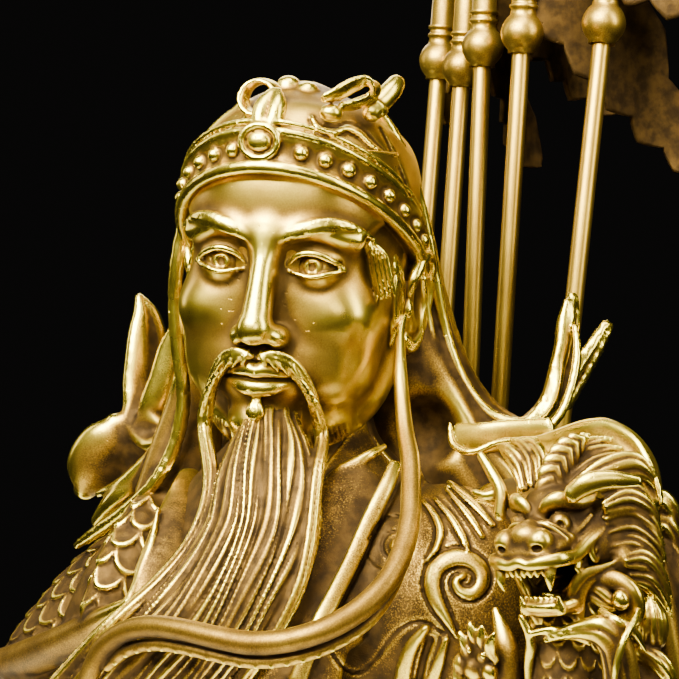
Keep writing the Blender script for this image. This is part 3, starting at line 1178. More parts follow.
def robe(clay, carved):
    trunk = [
        [0, 8, -6, 74, 52], [0, 8, 12, 72, 51], [0, 7, 30, 68, 48], [0, 5, 48, 59, 41],
        [0, 4, 64, 45, 32.5], [0, 3, 76, 29, 25], [0, 3, 86, 18, 19], [0, 3, 97, 16, 18],
    ]

    def low_folds(s, turn):
        return cloth_folds(9, 1.2, -20, 20)(60 - s, turn)

    clay.sweep(trunk, across=LEFTWARD, steps=60, relief=low_folds)
    clay.ball((46, -4, 48), (27, 25, 30), soft=4)
    # the left half of the robe with its rolled edge, and the collar
    clay.sweep(seen((358, 474, -13, 5, 2.0), (354, 496, -17, 8.4, 2.6), (346, 530, -23, 9, 3),
                    (330, 570, -30, 9, 3), (312, 620, -38, 9.5, 3), (294, 700, -45, 9.5, 3.4)), soft=2.5)
    clay.sweep(seen((408, 482, -5, 4, 4), (394, 515, -12, 5, 4), (377, 552, -19, 5, 4),
                    (358, 592, -26, 5, 4), (344, 630, -33, 5, 4)), soft=2.5)
    edge(clay, (396, 464, -11), (386, 488, -17), (370, 520, -23), (352, 560, -30), (334, 596, -37),
         (316, 632, -43), (298, 680, -47), wide=2.0, thick=1.0, soft=3.0, tip=0.8)
    edge(clay, (328, 478, -17.0), (350, 466, -14), (370, 455, -10.0), (385, 446, -4.5), wide=1.3,
         thick=1.1, soft=2.0, tip=0.5)
    if not carved:
        return
    low, high = BREAST_LOW, BREAST_HIGH
    drawn(clay, low, high, [[(403, 472), (394, 494), (378, 528), (360, 568), (342, 604), (324, 640)]],
          2.2, -0.8, "groove")
    # scroll on the robe, and the plumes on the breast
    drawn(clay, low, high, [whorl(397, 546, 15, 60, 1.0, 0.95)], 1.9, -0.8, "groove")
    drawn(clay, low, high, [[(397, 546), (399, 547)]], 8, 1.1)
    whisks = [[(402, 516), (388, 518), (376, 526), (368, 540)],
              [(366, 556), (374, 567), (392, 573), (402, 572)]]
    drawn(clay, low, high, whisks, 1.6, -0.7, "groove")
    plume = [(456, 636, 0.3), (446, 618, 0.7), (436, 600, 0.95), (432, 582, 1.05), (438, 566, 1.1),
             (454, 558, 1.1), (470, 560, 1.05), (481, 570, 1.0), (482, 584, 0.95), (472, 594, 0.85),
             (460, 591, 0.7), (456, 581, 0.55), (463, 576, 0.4)]
    drawn(clay, low, high, [plume], 8.0, 1.1)
    drawn(clay, low, high, outlines(plume, 9.5), 1.5, -0.85, "groove")
    leaves = [[(424, 502, 0.5), (434, 514, 0.9), (440, 530, 1.0), (437, 546, 0.9), (428, 560, 0.5)],
              [(436, 500, 0.5), (450, 516, 0.9), (461, 534, 1.0), (468, 550, 0.7)],
              [(441, 473, 0.5), (456, 488, 0.9), (474, 504, 1.0), (492, 524, 0.8)],
              [(446, 488, 0.5), (458, 502, 0.8), (472, 520, 0.9), (482, 536, 0.7)]]
    drawn(clay, low, high, leaves, 4.4, 0.9)
    for leaf in leaves:
        drawn(clay, low, high, outlines(leaf, 5.2), 1.4, -0.7, "groove")
    cloud = [(331, 652), (344, 668), (360, 672), (375, 660), (389, 641), (405, 626), (424, 622), (444, 634)]
    drawn(clay, low, high, [cloud], 1.9, -0.9, "groove")
    drawn(clay, low, high, [[(426, 628, 0.6), (413, 644, 1.0), (405, 664, 1.2), (401, 690, 1.3)]], 7, 1.6)
    drawn(clay, low, high, [[(446, 640, 0.6), (440, 660, 1.0), (432, 684, 1.2)]], 6, 1.2)
    drawn(clay, low, high, [[(430, 640), (424, 658), (418, 684)]], 5, -1.8, "groove")


def chest():
    clay = Clay("chest", (-76, -62, 0.4), (78, 60, 97), step=0.9)
    robe(clay, False)
    # the front left lies under a finer skin of its own
    cut, x, y, z = clay.near(BREAST_LOW, BREAST_HIGH)
    inside = np.minimum.reduce(np.broadcast_arrays(
        x - BREAST_LOW[0], BREAST_HIGH[0] - x, y - BREAST_LOW[1] + 9, z - BREAST_LOW[2], BREAST_HIGH[2] - z))
    clay.depth[cut] += BREAST_COVER * np.clip(inside / 2.0, 0, 1).astype(np.float32)
    return clay


def breast():
    clay = Clay("breast", BREAST_LOW, BREAST_HIGH, step=0.5)
    robe(clay, True)
    clay.depth = np.maximum(clay.depth, -clay.depth - BREAST_SHELL)
    return clay


def sash():
    viewer = Frame([LOOK_RIGHT, LOOK_UP, LOOK_BACK], [0, 0, 110.0])

    def laid(rows):
        return [list(viewer.into(p[:3])) + list(p[3:]) for p in rows]

    path = seen((404, 316, 5, 0.8, 0.8), (400, 336, 1, 1.2, 1.2), (400, 366, -4, 1.6, 1.6),
                (402, 398, -8, 1.8, 1.7), (405, 430, -13, 2.0, 1.8), (410, 460, -19, 2.2, 2.0),
                (411, 490, -25, 2.3, 2.1), (410, 520, -31, 2.4, 2.2), (403, 550, -37, 2.5, 2.3),
                (391, 576, -43, 2.5, 2.4), (371, 600, -49, 2.6, 2.5), (347, 618, -54, 2.6, 2.6),
                (318, 632, -59, 2.6, 2.7), (284, 641, -63, 2.6, 2.7), (250, 643, -65.6, 2.6, 2.6),
                (215, 637, -67.2, 2.5, 2.5), (180, 629, -67.7, 2.4, 2.5), (150, 626, -67.7, 2.4, 2.5),
                (124, 632, -67.7, 2.4, 2.5), (104, 647, -67.7, 2.4, 2.5), (92, 670, -67.4, 2.4, 2.5),
                (82, 704, -66, 2.5, 2.6), (74, 760, -64, 2.5, 2.6))
    spots = np.array([p[:3] for p in laid(path)])
    clay = Clay("sash", spots.min(0) - 6, spots.max(0) + 5, step=0.38, place=viewer)

    def cords(s, turn):
        cut = sum(d * np.exp(-((np.mod(turn - a + math.pi, 2 * math.pi) - math.pi) / 0.15) ** 2)
                  for a, d in ((1.25, 1.3), (1.95, 1.1), (2.6, 0.9), (0.45, 0.7)))
        return -cut

    clay.sweep(laid(path), steps=130, relief=cords)
    # a thinner cord below, with a row of small beads
    under = [[x * 0.985, y + 1.2, z - 4.4 * min(1, k / 5), 1.5, 1.5]
             for k, (x, y, z, *_) in enumerate(path[5:20])]

    def cord(s, turn):
        return -0.5 * np.exp(-((np.sin(turn) - 0.8) / 0.16) ** 2)

    clay.sweep(laid(under), soft=0.2, steps=84, relief=cord)
    rows = catmull(laid(under), 90)
    for p in rows[36:88:3]:
        clay.ball(p[:3] + np.array([0, -0.9, 1.0]), (0.6, 0.6, 0.6), soft=0.1)
    return clay


cast(chest(), SANDY_BRASS, fine=0.9, fold=2.6)
cast(breast(), SANDY_BRASS, fine=0.7, fold=2.4)
cast(sash(), SASH_BRASS, fine=0.7, fold=2.2)


def left_shoulder():
    clay = Clay("left_shoulder", (38, -36, 0.4), (111.6, 42, 97), step=0.62)
    arm = [[72, 10, 56, 11, 11], [80, 6, 46, 14, 14], [85, 2, 34, 17, 17], [88, -2, 16, 20, 20],
           [89, -4, -6, 21.5, 21.5]]
    cape = [[46, 7, 65, 9, 9.5], [58, 9, 69, 12, 10], [72, 9, 71, 14, 10], [84, 7, 70, 13, 11],
            [92, 5, 62, 10.5, 10.5], [96, 4, 48, 9, 9.5], [98, 4, 36, 8, 9]]
    clay.sweep(arm, across=BACKWARD, steps=40, relief=cloth_folds(5, 1.6, 5, 40))
    clay.sweep(cape, across=BACKWARD, soft=1.0, steps=44, relief=cloth_folds(4, 0.9, 0, 30))
    edge(clay, (450, 424, 2), (453, 444, 0), (472, 452, -1), (500, 442, 1), (546, 438, 1), (589, 425, -1),
         (609, 424, -2), (637, 442, -5), (655, 478, -8), (661, 505, -9), wide=0.9, thick=0.9)
    clay.sweep(seen((456, 436, 9, 3.4, 1.2), (478, 439, 9, 4.0, 1.4), (510, 434, 10, 3.6, 1.4),
                    (550, 430, 10, 3, 1.2)), soft=1.5)
    clay.sweep(seen((552, 446, 2, 3, 2), (590, 434, 0, 3.4, 2.4), (620, 440, -2, 3.4, 2.4),
                    (642, 466, -5, 3.4, 2.4), (650, 500, -6, 3, 2.4)), soft=1.5)
    # tufts of the mane that lie over the arm behind the guard
    for k in range(4):
        x, y = 652 + 2 * k, 508 + 25 * k
        clay.sweep(seen((x - 8, y + 4, 0, 1.2, 1.2), (x + 6, y - 8, 3, 2.8, 2.2),
                        (x + 17, y + 6, 6, 3.0, 2.4), (x + 21, y + 26, 8, 1.2, 1.2)), soft=0.6,
                   relief=strands(6, 0.6, 0.3, 14))
    return clay


cast(left_shoulder(), CLOTH_BRASS, fine=0.9, fold=2.6)

# %% [markdown]
# ## Scale armour
#
# The right shoulder wears scale armour: rows of round scales with a raised rim, each over the
# gap of the row below. The scales lie on a lattice round the arm, and the height of a scale
# falls from its rim to where the next row covers it.

# %% Right shoulder
ARM_RADIUS = 18.0


def scales(pitch_round, pitch_along, rise, rim=0.45, dome=0.0):
    """Overlapping round scales round a sweep of about the arm's radius."""
    def relief(s, turn):
        across = turn * ARM_RADIUS / pitch_round
        best = np.full(np.broadcast(s, turn).shape, -9.0, np.float32)
        for shift in (0, 1, 2):
            row = np.floor(s / pitch_along) - 1 + shift
            offset = 0.5 * (row % 2)
            u = (across + offset) - np.round(across + offset)
            v = (s - (row + 0.5) * pitch_along) / pitch_along
            r = np.sqrt((1.55 * u) ** 2 + (0.8 * (v - 0.15)) ** 2)
            ring = rim * np.clip(1 - np.abs(r - 0.72) / 0.12, 0, 1)
            level = rise * (0.55 + 0.45 * v) + ring + dome * (1 - r * r)
            level = np.where(r < 0.86, level, -9.0)
            best = np.maximum(best, level)
        return np.maximum(best, -0.6 * rise)
    return relief


def right_shoulder():
    clay = Clay("right_shoulder", (-106, -56, 0.4), (-10, 30, 78), step=0.57)
    arm = [[-44, 4, 46, 13, 16], [-57, 1, 35, 16, 18.5], [-67, -2, 22, 18.5, 19.8],
           [-74.5, -4, 9, 19.6, 21.5], [-77, -6, -6, 20, 22]]
    clay.sweep(arm, across=BACKWARD, steps=40, relief=scales(6.8, 5.6, 1.5))
    clay.sweep(seen((168, 510, -7, 8, 6), (150, 550, -13, 11, 8), (122, 600, -19, 12, 9),
                    (100, 650, -21, 12, 9)), soft=4)

    # the breast plate with its own scales, the fold that laps over it, and the roll of the sleeve
    def plate_scales(s, turn):
        return scales(6.8, 5.6, 1.3)(s, 0.36 * turn)

    clay.sweep(seen((152, 494, -9, 1.4, 1.2), (146, 514, -15.5, 4, 2.4), (138, 545, -21, 6.5, 3),
                    (124, 580, -26, 7, 3), (108, 615, -30, 6, 3)), soft=1.5, relief=plate_scales)
    clay.sweep(seen((190, 474, -6, 3.0, 1.5), (182, 506, -18, 5.0, 2.4), (170, 546, -27, 6.0, 2.8),
                    (154, 582, -33, 5.4, 2.8), (136, 610, -38, 2, 2)), soft=3.0)
    edge(clay, (158, 510, -27), (152, 541, -31), (141, 570, -35), (127, 600, -39), wide=0.85, thick=0.9,
         soft=0.2)
    clay.ball(seen((158, 511, -26.5))[0], (0.9, 0.9, 0.9), soft=0.2)
    clay.sweep(seen((-10, 672, -16, 5.4, 4.8), (22, 661, -21, 5.2, 4.6), (60, 645, -28, 4.8, 4.3),
                    (96, 625, -33.5, 3.8, 3.4), (128, 604, -39, 1.5, 1.5)), soft=1.2)
    return clay


cast(right_shoulder(), CLOTH_BRASS, fine=0.8)

# %% [markdown]
# ## The dragon's head
#
# The guard on the left shoulder is a dragon's head with an open mouth: a short broad muzzle with
# two deep nostrils, a curled lip over teeth and fangs, rolled brows over round drilled eyes,
# horns, leaf ears and a mane of pointed locks that lie back over the shoulder. It is made like
# the face, from soft forms first and cut lines last, in a frame of its own.

# %% Dragon
GUARD_LEFT, GUARD_AHEAD = unit([0.99, -0.02, 0.137]), unit([-0.02, -0.99, -0.12])
GUARD_UP = unit(-np.cross(GUARD_LEFT, GUARD_AHEAD))
GUARD = Frame([0.86 * GUARD_LEFT, 0.82 * GUARD_AHEAD, 1.05 * GUARD_UP], seen((566, 520, -17.6))[0])
CURL_TURNS, UNDERSIDE = 1.4, 0.5


def on_guard(*points):
    """Picture points with their depth, turned into the guard's frame."""
    return [list(GUARD.into(p[:3])) + p[3:] for p in seen(*points)]


def lock(clay, points, wide, thick, across=None, soft=0.5, count=6, depth=0.5):
    """One pointed lock of hair or flame, thickest a third of the way along."""
    n = len(points)
    rows = []
    for k, p in enumerate(points):
        t = k / (n - 1)
        swell = (0.55 + 1.5 * t * (1 - t) * 1.4) * (1 - t**3) + 0.06
        rows.append(list(p) + [wide * swell, thick * swell])
    clay.sweep(rows, across=across, soft=soft, steps=6 * (n - 1), relief=strands(count, depth, 0.2, 18))


def strand(clay, *points, wide=1.2, thick=1.2, soft=0.3, tip=0.3, **more):
    """A long even strand through picture points, thinner at its ends."""
    rows = on_guard(*points)
    for k, row in enumerate(rows):
        share = 1 if 0 < k < len(rows) - 1 else (0.75 if k == 0 else tip)
        row[3:] = [wide * share, thick * share]
    clay.sweep(rows, soft=soft, **more)


def curl(clay, middle, size, bar, start, hand):
    """A bar wound in on itself, flat against the side of the head."""
    rows = []
    for t in np.linspace(0, 1, 15):
        a = start + hand * t * CURL_TURNS * 2 * math.pi
        r = size * (1 - 0.82 * t)
        way = (0.12 * size * t, r * math.cos(a), r * math.sin(a))
        rows.append([m + w for m, w in zip(middle, way)] + [bar * (1 - 0.25 * t)] * 2)
    clay.sweep(rows, across=LEFTWARD, soft=0.3, steps=42)


def dragon_head():
    clay = Clay("dragon_head", (-27, -21, -24), (34, 29, 24), step=0.42, place=GUARD)
    clay.ball((1, 1, 1), (10, 12, 8.5))
    clay.ball((1, 8, 4.6), (6.8, 5, 4.2), soft=3)
    muzzle = [[0, 6, -1, 9.6, 6.0], [0, 13, -1.8, 9.4, 4.6], [0, 19, -1.8, 9.0, 3.6],
              [0, 23.4, -2.4, 8.0, 2.6]]
    clay.sweep(muzzle, across=LEFTWARD, soft=3)
    clay.sweep([[0, 10, 4.5, 2.4, 2], [0, 15, 2.2, 2.0, 1.8], [0.4, 19, 2.2, 2.4, 1.8]], across=LEFTWARD,
               soft=2)
    clay.ball((0.4, 21.6, 1.1), (4.4, 3.4, 2.7), soft=1.5)
    for side in SIDES:
        clay.ball((side * 4.5, 22.0, 0.1), (3.5, 3.4, 2.7), soft=0.9)
        clay.ball((side * 5.1, 25.2, -0.8), (1.3, 2.0, 0.75), soft=0.5, carve=True)
        clay.ball((side * 5.6, 13.0, 1.6), (3.6, 3.0, 3.2), soft=1.2, carve=True)
        clay.ball((side * 5.4, 12.4, 1.4), (2.9, 2.9, 2.9), soft=0.1)
        clay.ball((side * 5.4 + 1.4, 14.9, 1.7), (1.0, 1.2, 1.0), soft=0.1, carve=True)
        brow = [[side * 1.4, 14.0, 3.6, 1.0, 0.9], [side * 3.2, 13.6, 5.8, 1.6, 1.4],
                [side * 6.4, 12.0, 6.5, 1.9, 1.6], [side * 9.4, 7.8, 5.0, 1.6, 1.4],
                [side * 11.6, 2.6, 5.2, 0.7, 0.7]]
        clay.sweep(brow, across=UPWARD, soft=0.6, steps=20)
        clay.sweep([[side * 2.8, 14.2, -0.4, 0.7, 0.7], [side * 5.4, 14.2, -1.2, 1.0, 0.9],
                    [side * 8.8, 10.4, -0.2, 1.0, 0.9], [side * 10.8, 6.0, 2.0, 0.5, 0.5]],
                   across=LEFTWARD, soft=0.5)
        for k in range(3):
            clay.sweep([[side * 1.5, 18.2 - 1.9 * k, 3.1 - 0.1 * k, 0.5, 0.5],
                        [side * 5.2, 18.0 - 2.2 * k, 2.3 - 0.4 * k, 0.8, 0.7],
                        [side * 8.8, 16.0 - 2.6 * k, -0.8, 0.5, 0.5]], across=LEFTWARD, soft=0.5)
        clay.ball((side * 10.4, 2.5, -4), (4.6, 6.6, 5.5), soft=2.0)
        # lip roll that climbs back over the cheek, and its folds
        for k in range(3):
            clay.sweep([[side * (9.6 + 0.3 * k), 15 - 3.5 * k, -3.4 + 1.3 * k, 0.7, 0.7],
                        [side * (11.4 + 0.2 * k), 9 - 3.0 * k, -2.0 + 1.6 * k, 1.0, 0.9],
                        [side * (13.2 + 0.2 * k), 2 - 2.0 * k, 0.4 + 1.8 * k, 0.6, 0.6]],
                       across=LEFTWARD, soft=0.4)
        clay.sweep([[side * 9.6, 9.5, -5, 1.1, 1.1], [side * 8.6, 10.5, -9.5, 0.9, 0.9],
                    [side * 7.6, 8.0, -14, 1.2, 1.2]], across=LEFTWARD, soft=0.6)
        curl(clay, (side * 11.6, 8.6, -5.2), 2.6, 0.85, start=math.pi, hand=-1)
        curl(clay, (side * 8.8, 11.8, -8.4), 2.0, 0.75, start=0.5, hand=1)
        lock(clay, [(side * 5.6, 11.8, -19.5), (side * 6.6, 13.2, -14), (side * 9.2, 11.8, -10.2),
                    (side * 13, 7.4, -9.2), (side * 17, 2.5, -7.6)], 2.6, 1.4, across=(0, 0.3, 1),
             count=4, depth=0.4)
        clay.ball((side * 15.5, 1.5, -8.4), (3.2, 3.6, 4.2), soft=1.0)
        leaf = [
            [side * 11.0, 3.0, -0.4, 1.4, 0.9], [side * 12.6, 0.6, 2.0, 2.4, 1.1],
            [side * 13.6, -1.4, 4.6, 1.8, 0.9], [side * 14.4, -3.0, 7.0, 0.4, 0.4],
        ]
        hollow = [[p[0] + side * 0.8, p[1] + 0.9, p[2], p[3] * 0.5, 0.7] for p in leaf[1:3]]
        clay.sweep(leaf, across=(0.5, 0.6, 0.4), soft=0.3)
        clay.sweep(hollow, across=(0.5, 0.6, 0.4), soft=0.3, carve=True)
        clay.sweep([[side * 7.2, 23.8, -5.4, 1.5, 1.4], [side * 7.0, 24.6, -7.2, 1.2, 1.1],
                    [side * 6.6, 24.4, -9.4, 0.4, 0.4]], across=LEFTWARD, soft=0.2)
        clay.sweep([[side * 5.2, 18.6, -14.6, 1.1, 1.1], [side * 5.4, 19.4, -12.0, 0.4, 0.4]],
                   across=LEFTWARD, soft=0.2)
    lip = mirrored([-13.2, 4, -1.0, 1.1, 1.1], [-11.4, 10, -2.8, 1.3, 1.2], [-10.6, 16, -4.2, 1.4, 1.2],
                   [-9.6, 22, -3.7, 1.5, 1.3], [-6.0, 25.4, -3.6, 1.3, 1.1], [-2.6, 26.2, -3.9, 1.1, 1.1],
                   [0, 26.3, -3.3, 1.1, 1.1])
    clay.sweep(lip, across=UPWARD, soft=0.4, steps=66)
    for k in range(-3, 4):
        clay.ball((k * 1.75, 24.6 - 0.1 * k * k, -5.5), (0.85, 0.7, 1.5), soft=0.1)
        clay.ball((k * 1.5, 18.9 - 0.1 * k * k, -13.0), (0.75, 0.6, 1.2), soft=0.1)
    jaw = [[0, 0, -12.0, 8.4, 3.8], [0, 8, -14.6, 7.8, 2.6], [0, 14, -15.4, 7.0, 2.0],
           [0, 18.4, -14.9, 5.2, 1.5]]
    clay.sweep(jaw, across=LEFTWARD, soft=2)
    clay.ball((0, 10.5, -12.4), (5.4, 7.4, 2.4), soft=1.0, carve=True)
    clay.ball((0, 10, -8.4), (6.6, 10, 3.4), soft=1.0, carve=True)
    clay.sweep([[0, 3, -12.0, 2.2, 0.9], [0, 9, -13.6, 2.8, 0.9], [0, 14, -13.2, 2.4, 0.8],
                [0, 16.6, -12.2, 0.8, 0.6]], across=LEFTWARD, soft=0.3)
    jaw_rim = mirrored([-8.0, 4, -12.6, 0.9, 0.9], [-7.4, 12, -14.2, 0.9, 0.9], [-5.0, 18.4, -14.2, 0.9, 0.9],
                       [0, 19.9, -14.2, 0.9, 0.9])
    clay.sweep(jaw_rim, across=UPWARD, soft=0.4, steps=40)
    # horns: the left one lies back smooth, the right one stands up and has a branch
    clay.sweep(on_guard((572, 494, -30, 2.0, 2.0), (586, 484, -29, 2.3, 2.2), (604, 480, -27, 2.0, 1.9),
                        (622, 480, -25, 1.7, 1.6), (638, 481, -23, 1.1, 1.1)), soft=0.4)
    clay.sweep(on_guard((500, 514, -27, 1.6, 1.6), (501, 492, -26, 1.6, 1.6), (491, 472, -25, 1.4, 1.4),
                        (481, 456, -24, 1.0, 1.0)), soft=0.6)
    clay.sweep(on_guard((498, 492, -26, 1.0, 1.0), (486, 496, -27, 1.0, 1.0), (474, 492, -27, 0.7, 0.7)),
               soft=0.5)
    # crest with feathered edge, and the mane
    crest = [[0.5, 9, 6.0, 2.8, 2.0], [1.2, 6.5, 9.6, 3.6, 2.2], [2.8, 2.6, 12.8, 3.8, 2.2],
             [4.8, -1.5, 15.2, 3.0, 2.0], [7.6, -5.5, 16.8, 0.7, 0.7]]

    def feathers(s, turn):
        return -0.6 * (1 - np.abs(np.sin(1.1 * s + 2.6 * np.abs(np.cos(turn))))) ** 1.5

    clay.sweep(crest, soft=0.6, relief=feathers)
    clay.sweep(on_guard((572, 508, -11, 10, 9), (598, 506, -6, 12, 10), (620, 520, -4, 10, 10),
                        (630, 556, -4, 9, 9)), soft=1)
    for points, size in (
        (((548, 484, -23), (568, 462, -17), (592, 446, -12), (616, 437, -9)), 2.0),
        (((556, 488, -23), (578, 468, -17), (602, 454, -12), (628, 447, -9)), 2.0),
        (((562, 492, -23), (590, 474, -17), (616, 462, -12), (642, 459, -9)), 2.1),
        (((572, 492, -22), (602, 474, -17), (632, 466, -12), (650, 476, -9), (658, 494, -7)), 2.2),
        (((598, 492, -21), (622, 490, -16), (642, 498, -12), (654, 514, -9)), 1.9),
        (((606, 508, -21), (630, 502, -16), (650, 512, -12), (662, 530, -9)), 2.0),
        (((606, 520, -21), (630, 516, -16), (652, 528, -12), (666, 548, -9)), 1.9),
        (((608, 534, -21), (632, 530, -16), (654, 544, -12), (668, 566, -9)), 2.0),
        (((610, 548, -21), (632, 546, -17), (652, 558, -13), (668, 582, -9)), 1.9),
        (((626, 562, -20), (644, 562, -16), (660, 578, -12), (674, 602, -8)), 1.9),
        (((630, 576, -19), (648, 580, -15), (662, 596, -11), (674, 622, -8)), 1.8),
        (((524, 488, -22), (520, 468, -19), (508, 452, -17), (494, 446, -15)), 1.7),
        (((532, 484, -22), (530, 462, -18), (520, 446, -15), (506, 438, -13)), 1.6),
        (((540, 480, -22), (540, 460, -18), (532, 446, -15), (520, 440, -13)), 1.5),
        (((508, 504, -24), (496, 496, -21), (484, 496, -18), (470, 502, -16)), 1.7),
    ):
        lock(clay, on_guard(*points), size * 1.5, size, soft=0.3, count=7, depth=0.55)
    # the ring of mane round the knob at the corner of the jaw
    strand(clay, (562, 600, -25), (588, 584, -24), (612, 580, -22), (632, 592, -21), (636, 612, -20),
           (618, 628, -20), (596, 634, -20), wide=2.2, thick=1.8, tip=0.6)
    strand(clay, (578, 582, -25), (596, 588, -24), (612, 600, -23), (622, 606, -22), wide=1.2, thick=1.2)
    strand(clay, (572, 590, -25), (590, 596, -24), (606, 606, -23), (616, 610, -22), wide=1.0, thick=1.0)
    clay.ball(on_guard((621, 600, -23))[0], (2.2, 2.2, 2.2), soft=0.4)
    return clay


cast(dragon_head(), GUARD_BRASS, fine=0.6, fold=2.0)


def dragon_body():
    clay = Clay("dragon_body", (-30, -22, -71.2), (34, 26, -14), step=0.5, place=GUARD)

    def neck_scales(s, turn):
        return scales(6.0, 3.3, 1.2, rim=0.3, dome=0.3)(s, turn * 0.62)

    neck = on_guard((566, 612, -17, 8, 7), (566, 640, -19, 8.4, 7.4), (566, 670, -20, 9, 8),
                    (568, 720, -20, 10, 9), (570, 820, -18, 12, 10), (572, 900, -16, 12, 10))
    clay.sweep(neck, relief=neck_scales, steps=34)
    # the smooth flame that rises from the shoulder and folds round under the jaw
    flame = on_guard((546, 640, -29, 0.8, 0.8), (562, 634, -29, 1.4, 1.3), (582, 630, -28, 2.2, 1.9),
                     (602, 632, -27, 3.6, 2.8), (617, 650, -25, 4.4, 3.6), (622, 690, -23, 4.8, 4.4),
                     (620, 740, -21, 5.6, 5.2), (616, 820, -18, 7, 6), (614, 900, -16, 7, 6))

    def long_lines(s, turn):
        return -0.55 * (1 - np.abs(np.sin(2.5 * turn + 0.5 * np.sin(0.12 * s)))) ** 2.2

    clay.sweep(flame, soft=0.5, steps=60, relief=long_lines)
    strand(clay, (640, 606, -20), (634, 622, -24), (624, 640, -28), (616, 668, -29), (612, 700, -27),
           wide=0.9, thick=0.9)
    strand(clay, (600, 612, -25), (618, 622, -26), (634, 632, -23), (646, 652, -20), wide=1.2, thick=1.1)
    strand(clay, (530, 634, -30), (552, 630, -29), (574, 636, -28), (592, 646, -27), wide=0.9, thick=0.9)
    strand(clay, (528, 612, -29), (552, 610, -28), (580, 614, -27), wide=0.8, thick=0.8)
    # the oval leaf at the outer side
    clay.sweep(on_guard((650, 600, -14, 1.5, 1.5), (652, 618, -15, 4.0, 2.6), (652, 638, -14, 3.6, 2.6),
                        (646, 655, -13, 0.8, 0.8)), soft=0.3, relief=strands(10, 0.35, 0.5, 9))
    for k in range(5):
        x = 640 + 7 * k
        lock(clay, on_guard((x - 26, 650, -16), (x - 4, 648 + 5 * k, -14), (x + 12, 664 + 9 * k, -11)),
             2.6, 2.0, count=6)
    # the hanging drape, and claws beside it
    drape = on_guard((496, 612, -22, 1.2, 1.2), (502, 630, -23, 2.4, 1.8), (507, 650, -24, 3.0, 2.0),
                     (509, 680, -24, 3.2, 2.4), (508, 760, -23, 4, 3.4), (508, 860, -21, 5, 4))
    clay.sweep(drape, soft=0.5)
    strand(clay, (522, 618, -30), (531, 640, -29), (529, 664, -28), (531, 700, -27), (533, 780, -25),
           wide=1.3, thick=1.3, tip=0.8)
    for x, y, lean in ((462, 632, -6), (470, 622, -3), (478, 626, 4), (486, 634, 10)):
        lock(clay, on_guard((x + 10, y + 26, -28), (x + 4, y + 12, -30), (x + lean, y - 4, -31)), 1.8,
             1.5, count=4, depth=0.3)
    for x, y, r in ((470, 650, 2.6), (462, 664, 2.4), (474, 668, 2.8), (484, 656, 2.2), (456, 676, 2.2),
                    (490, 672, 2.2)):
        clay.ball(on_guard((x, y, -28))[0], (r, r, r), soft=0.4)
        clay.ball(on_guard((x - 1, y, -31))[0], (0.8, 0.8, 0.8), soft=0.1)
    # the flat underside
    height = GUARD.origin[2] + sum(
        line.reshape([-1 if k == n else 1 for k in range(3)]) * GUARD.axes[n][2]
        for n, line in enumerate(clay.lines))
    clay.depth = np.maximum(clay.depth, UNDERSIDE - height)
    return clay


cast(dragon_body(), GUARD_BRASS, fine=0.7, fold=2.2)

# %% [markdown]
# ## The case on the back
#
# A plain moulded case with a thick rim holds the feet of the poles. It is cast with the bust.
# Its mouth is an oval plate with five round holes, so it too is clay: an oval sweep, from which
# five drills are cut.

# %% Case
POLES = [
    {"place": (2.36, -0.71), "lean": (0.029, 0.149), "rise": 6, "heading": 30, "droop": 12},
    {"place": (0.67, -0.2), "lean": (0.02, 0.072), "rise": 3, "heading": 52, "droop": 46},
    {"place": (-0.24, 0.15), "lean": (-0.005, 0.07), "rise": 0, "heading": 74, "droop": 24},
    {"place": (-1.34, 0.55), "lean": (0.022, 0.086), "rise": -5, "heading": 96, "droop": 34},
    {"place": (-2.28, 0.85), "lean": (0.024, 0.105), "rise": -2, "heading": 118, "droop": 22},
]
POLE_PITCH, POLE_RADIUS, BORE_RADIUS, SOCKET_DEPTH = 13.0, 2.5, 2.8, 14.0
CASE_MIDDLE, CASE_TOP, CASE_WALL, CASE_RIM = (4.0, 77.0), 58.0, 11.0, 4.0
POLE_REACH, FERRULE_HEIGHT, BORE_DEPTH, FIT_GAP = 130.0, 12.0, 9.0, 0.3


def stand(pole):
    """Where a pole stands: its socket's mouth, its direction, and how far up its ferrule is."""
    (x, y), (dx, dy) = pole["place"], pole["lean"]
    mouth = np.array([CASE_MIDDLE[0] + x * POLE_PITCH, CASE_MIDDLE[1] + y * POLE_PITCH, CASE_TOP])
    return mouth, unit([dx, dy, 1]), POLE_REACH + pole["rise"] - FERRULE_HEIGHT / 2


def flag_case():
    half = [POLE_PITCH * max(abs(p["place"][n]) for p in POLES) + CASE_WALL for n in (0, 1)]
    clay = Clay("flag_case", (-45, 48, 0), (53, 106, 60), step=0.9)
    box = [[*CASE_MIDDLE, -6, half[0] + 1, half[1] + 1], [*CASE_MIDDLE, CASE_TOP - 1, half[0], half[1]]]
    clay.sweep(box, soft=0, steps=2, flat_ends=True, across=LEFTWARD)
    moulding = ((47, 0.6), (48.5, 3.2), (51, CASE_RIM), (54, 3.0), (56, CASE_RIM), (CASE_TOP, CASE_RIM))
    rim = [[*CASE_MIDDLE, z, half[0] + r, half[1] + r] for z, r in moulding]
    clay.sweep(rim, steps=12, flat_ends=True, across=LEFTWARD)
    for z in (8, 40):
        fillet = [[*CASE_MIDDLE, height, half[0] + 1.6, half[1] + 1.6] for height in (z, z + 2)]
        clay.sweep(fillet, steps=2, flat_ends=True, across=LEFTWARD)
    for pole in POLES:
        mouth, up, _ = stand(pole)
        bore = [list(mouth + d * up) + [BORE_RADIUS + 0.1] * 2 for d in (-SOCKET_DEPTH, 5)]
        clay.sweep(bore, across=LEFTWARD, steps=2, carve=True)
    return clay


cast(flag_case(), CLOTH_BRASS, fine=1.0, fold=3.0)

# %% [markdown]
# ## The poles
#
# Five rods of drawn brass stand in the case. A rod is a circle, extruded along its lean, with a
# small bevel at each end, so bmesh's own operators make it whole.

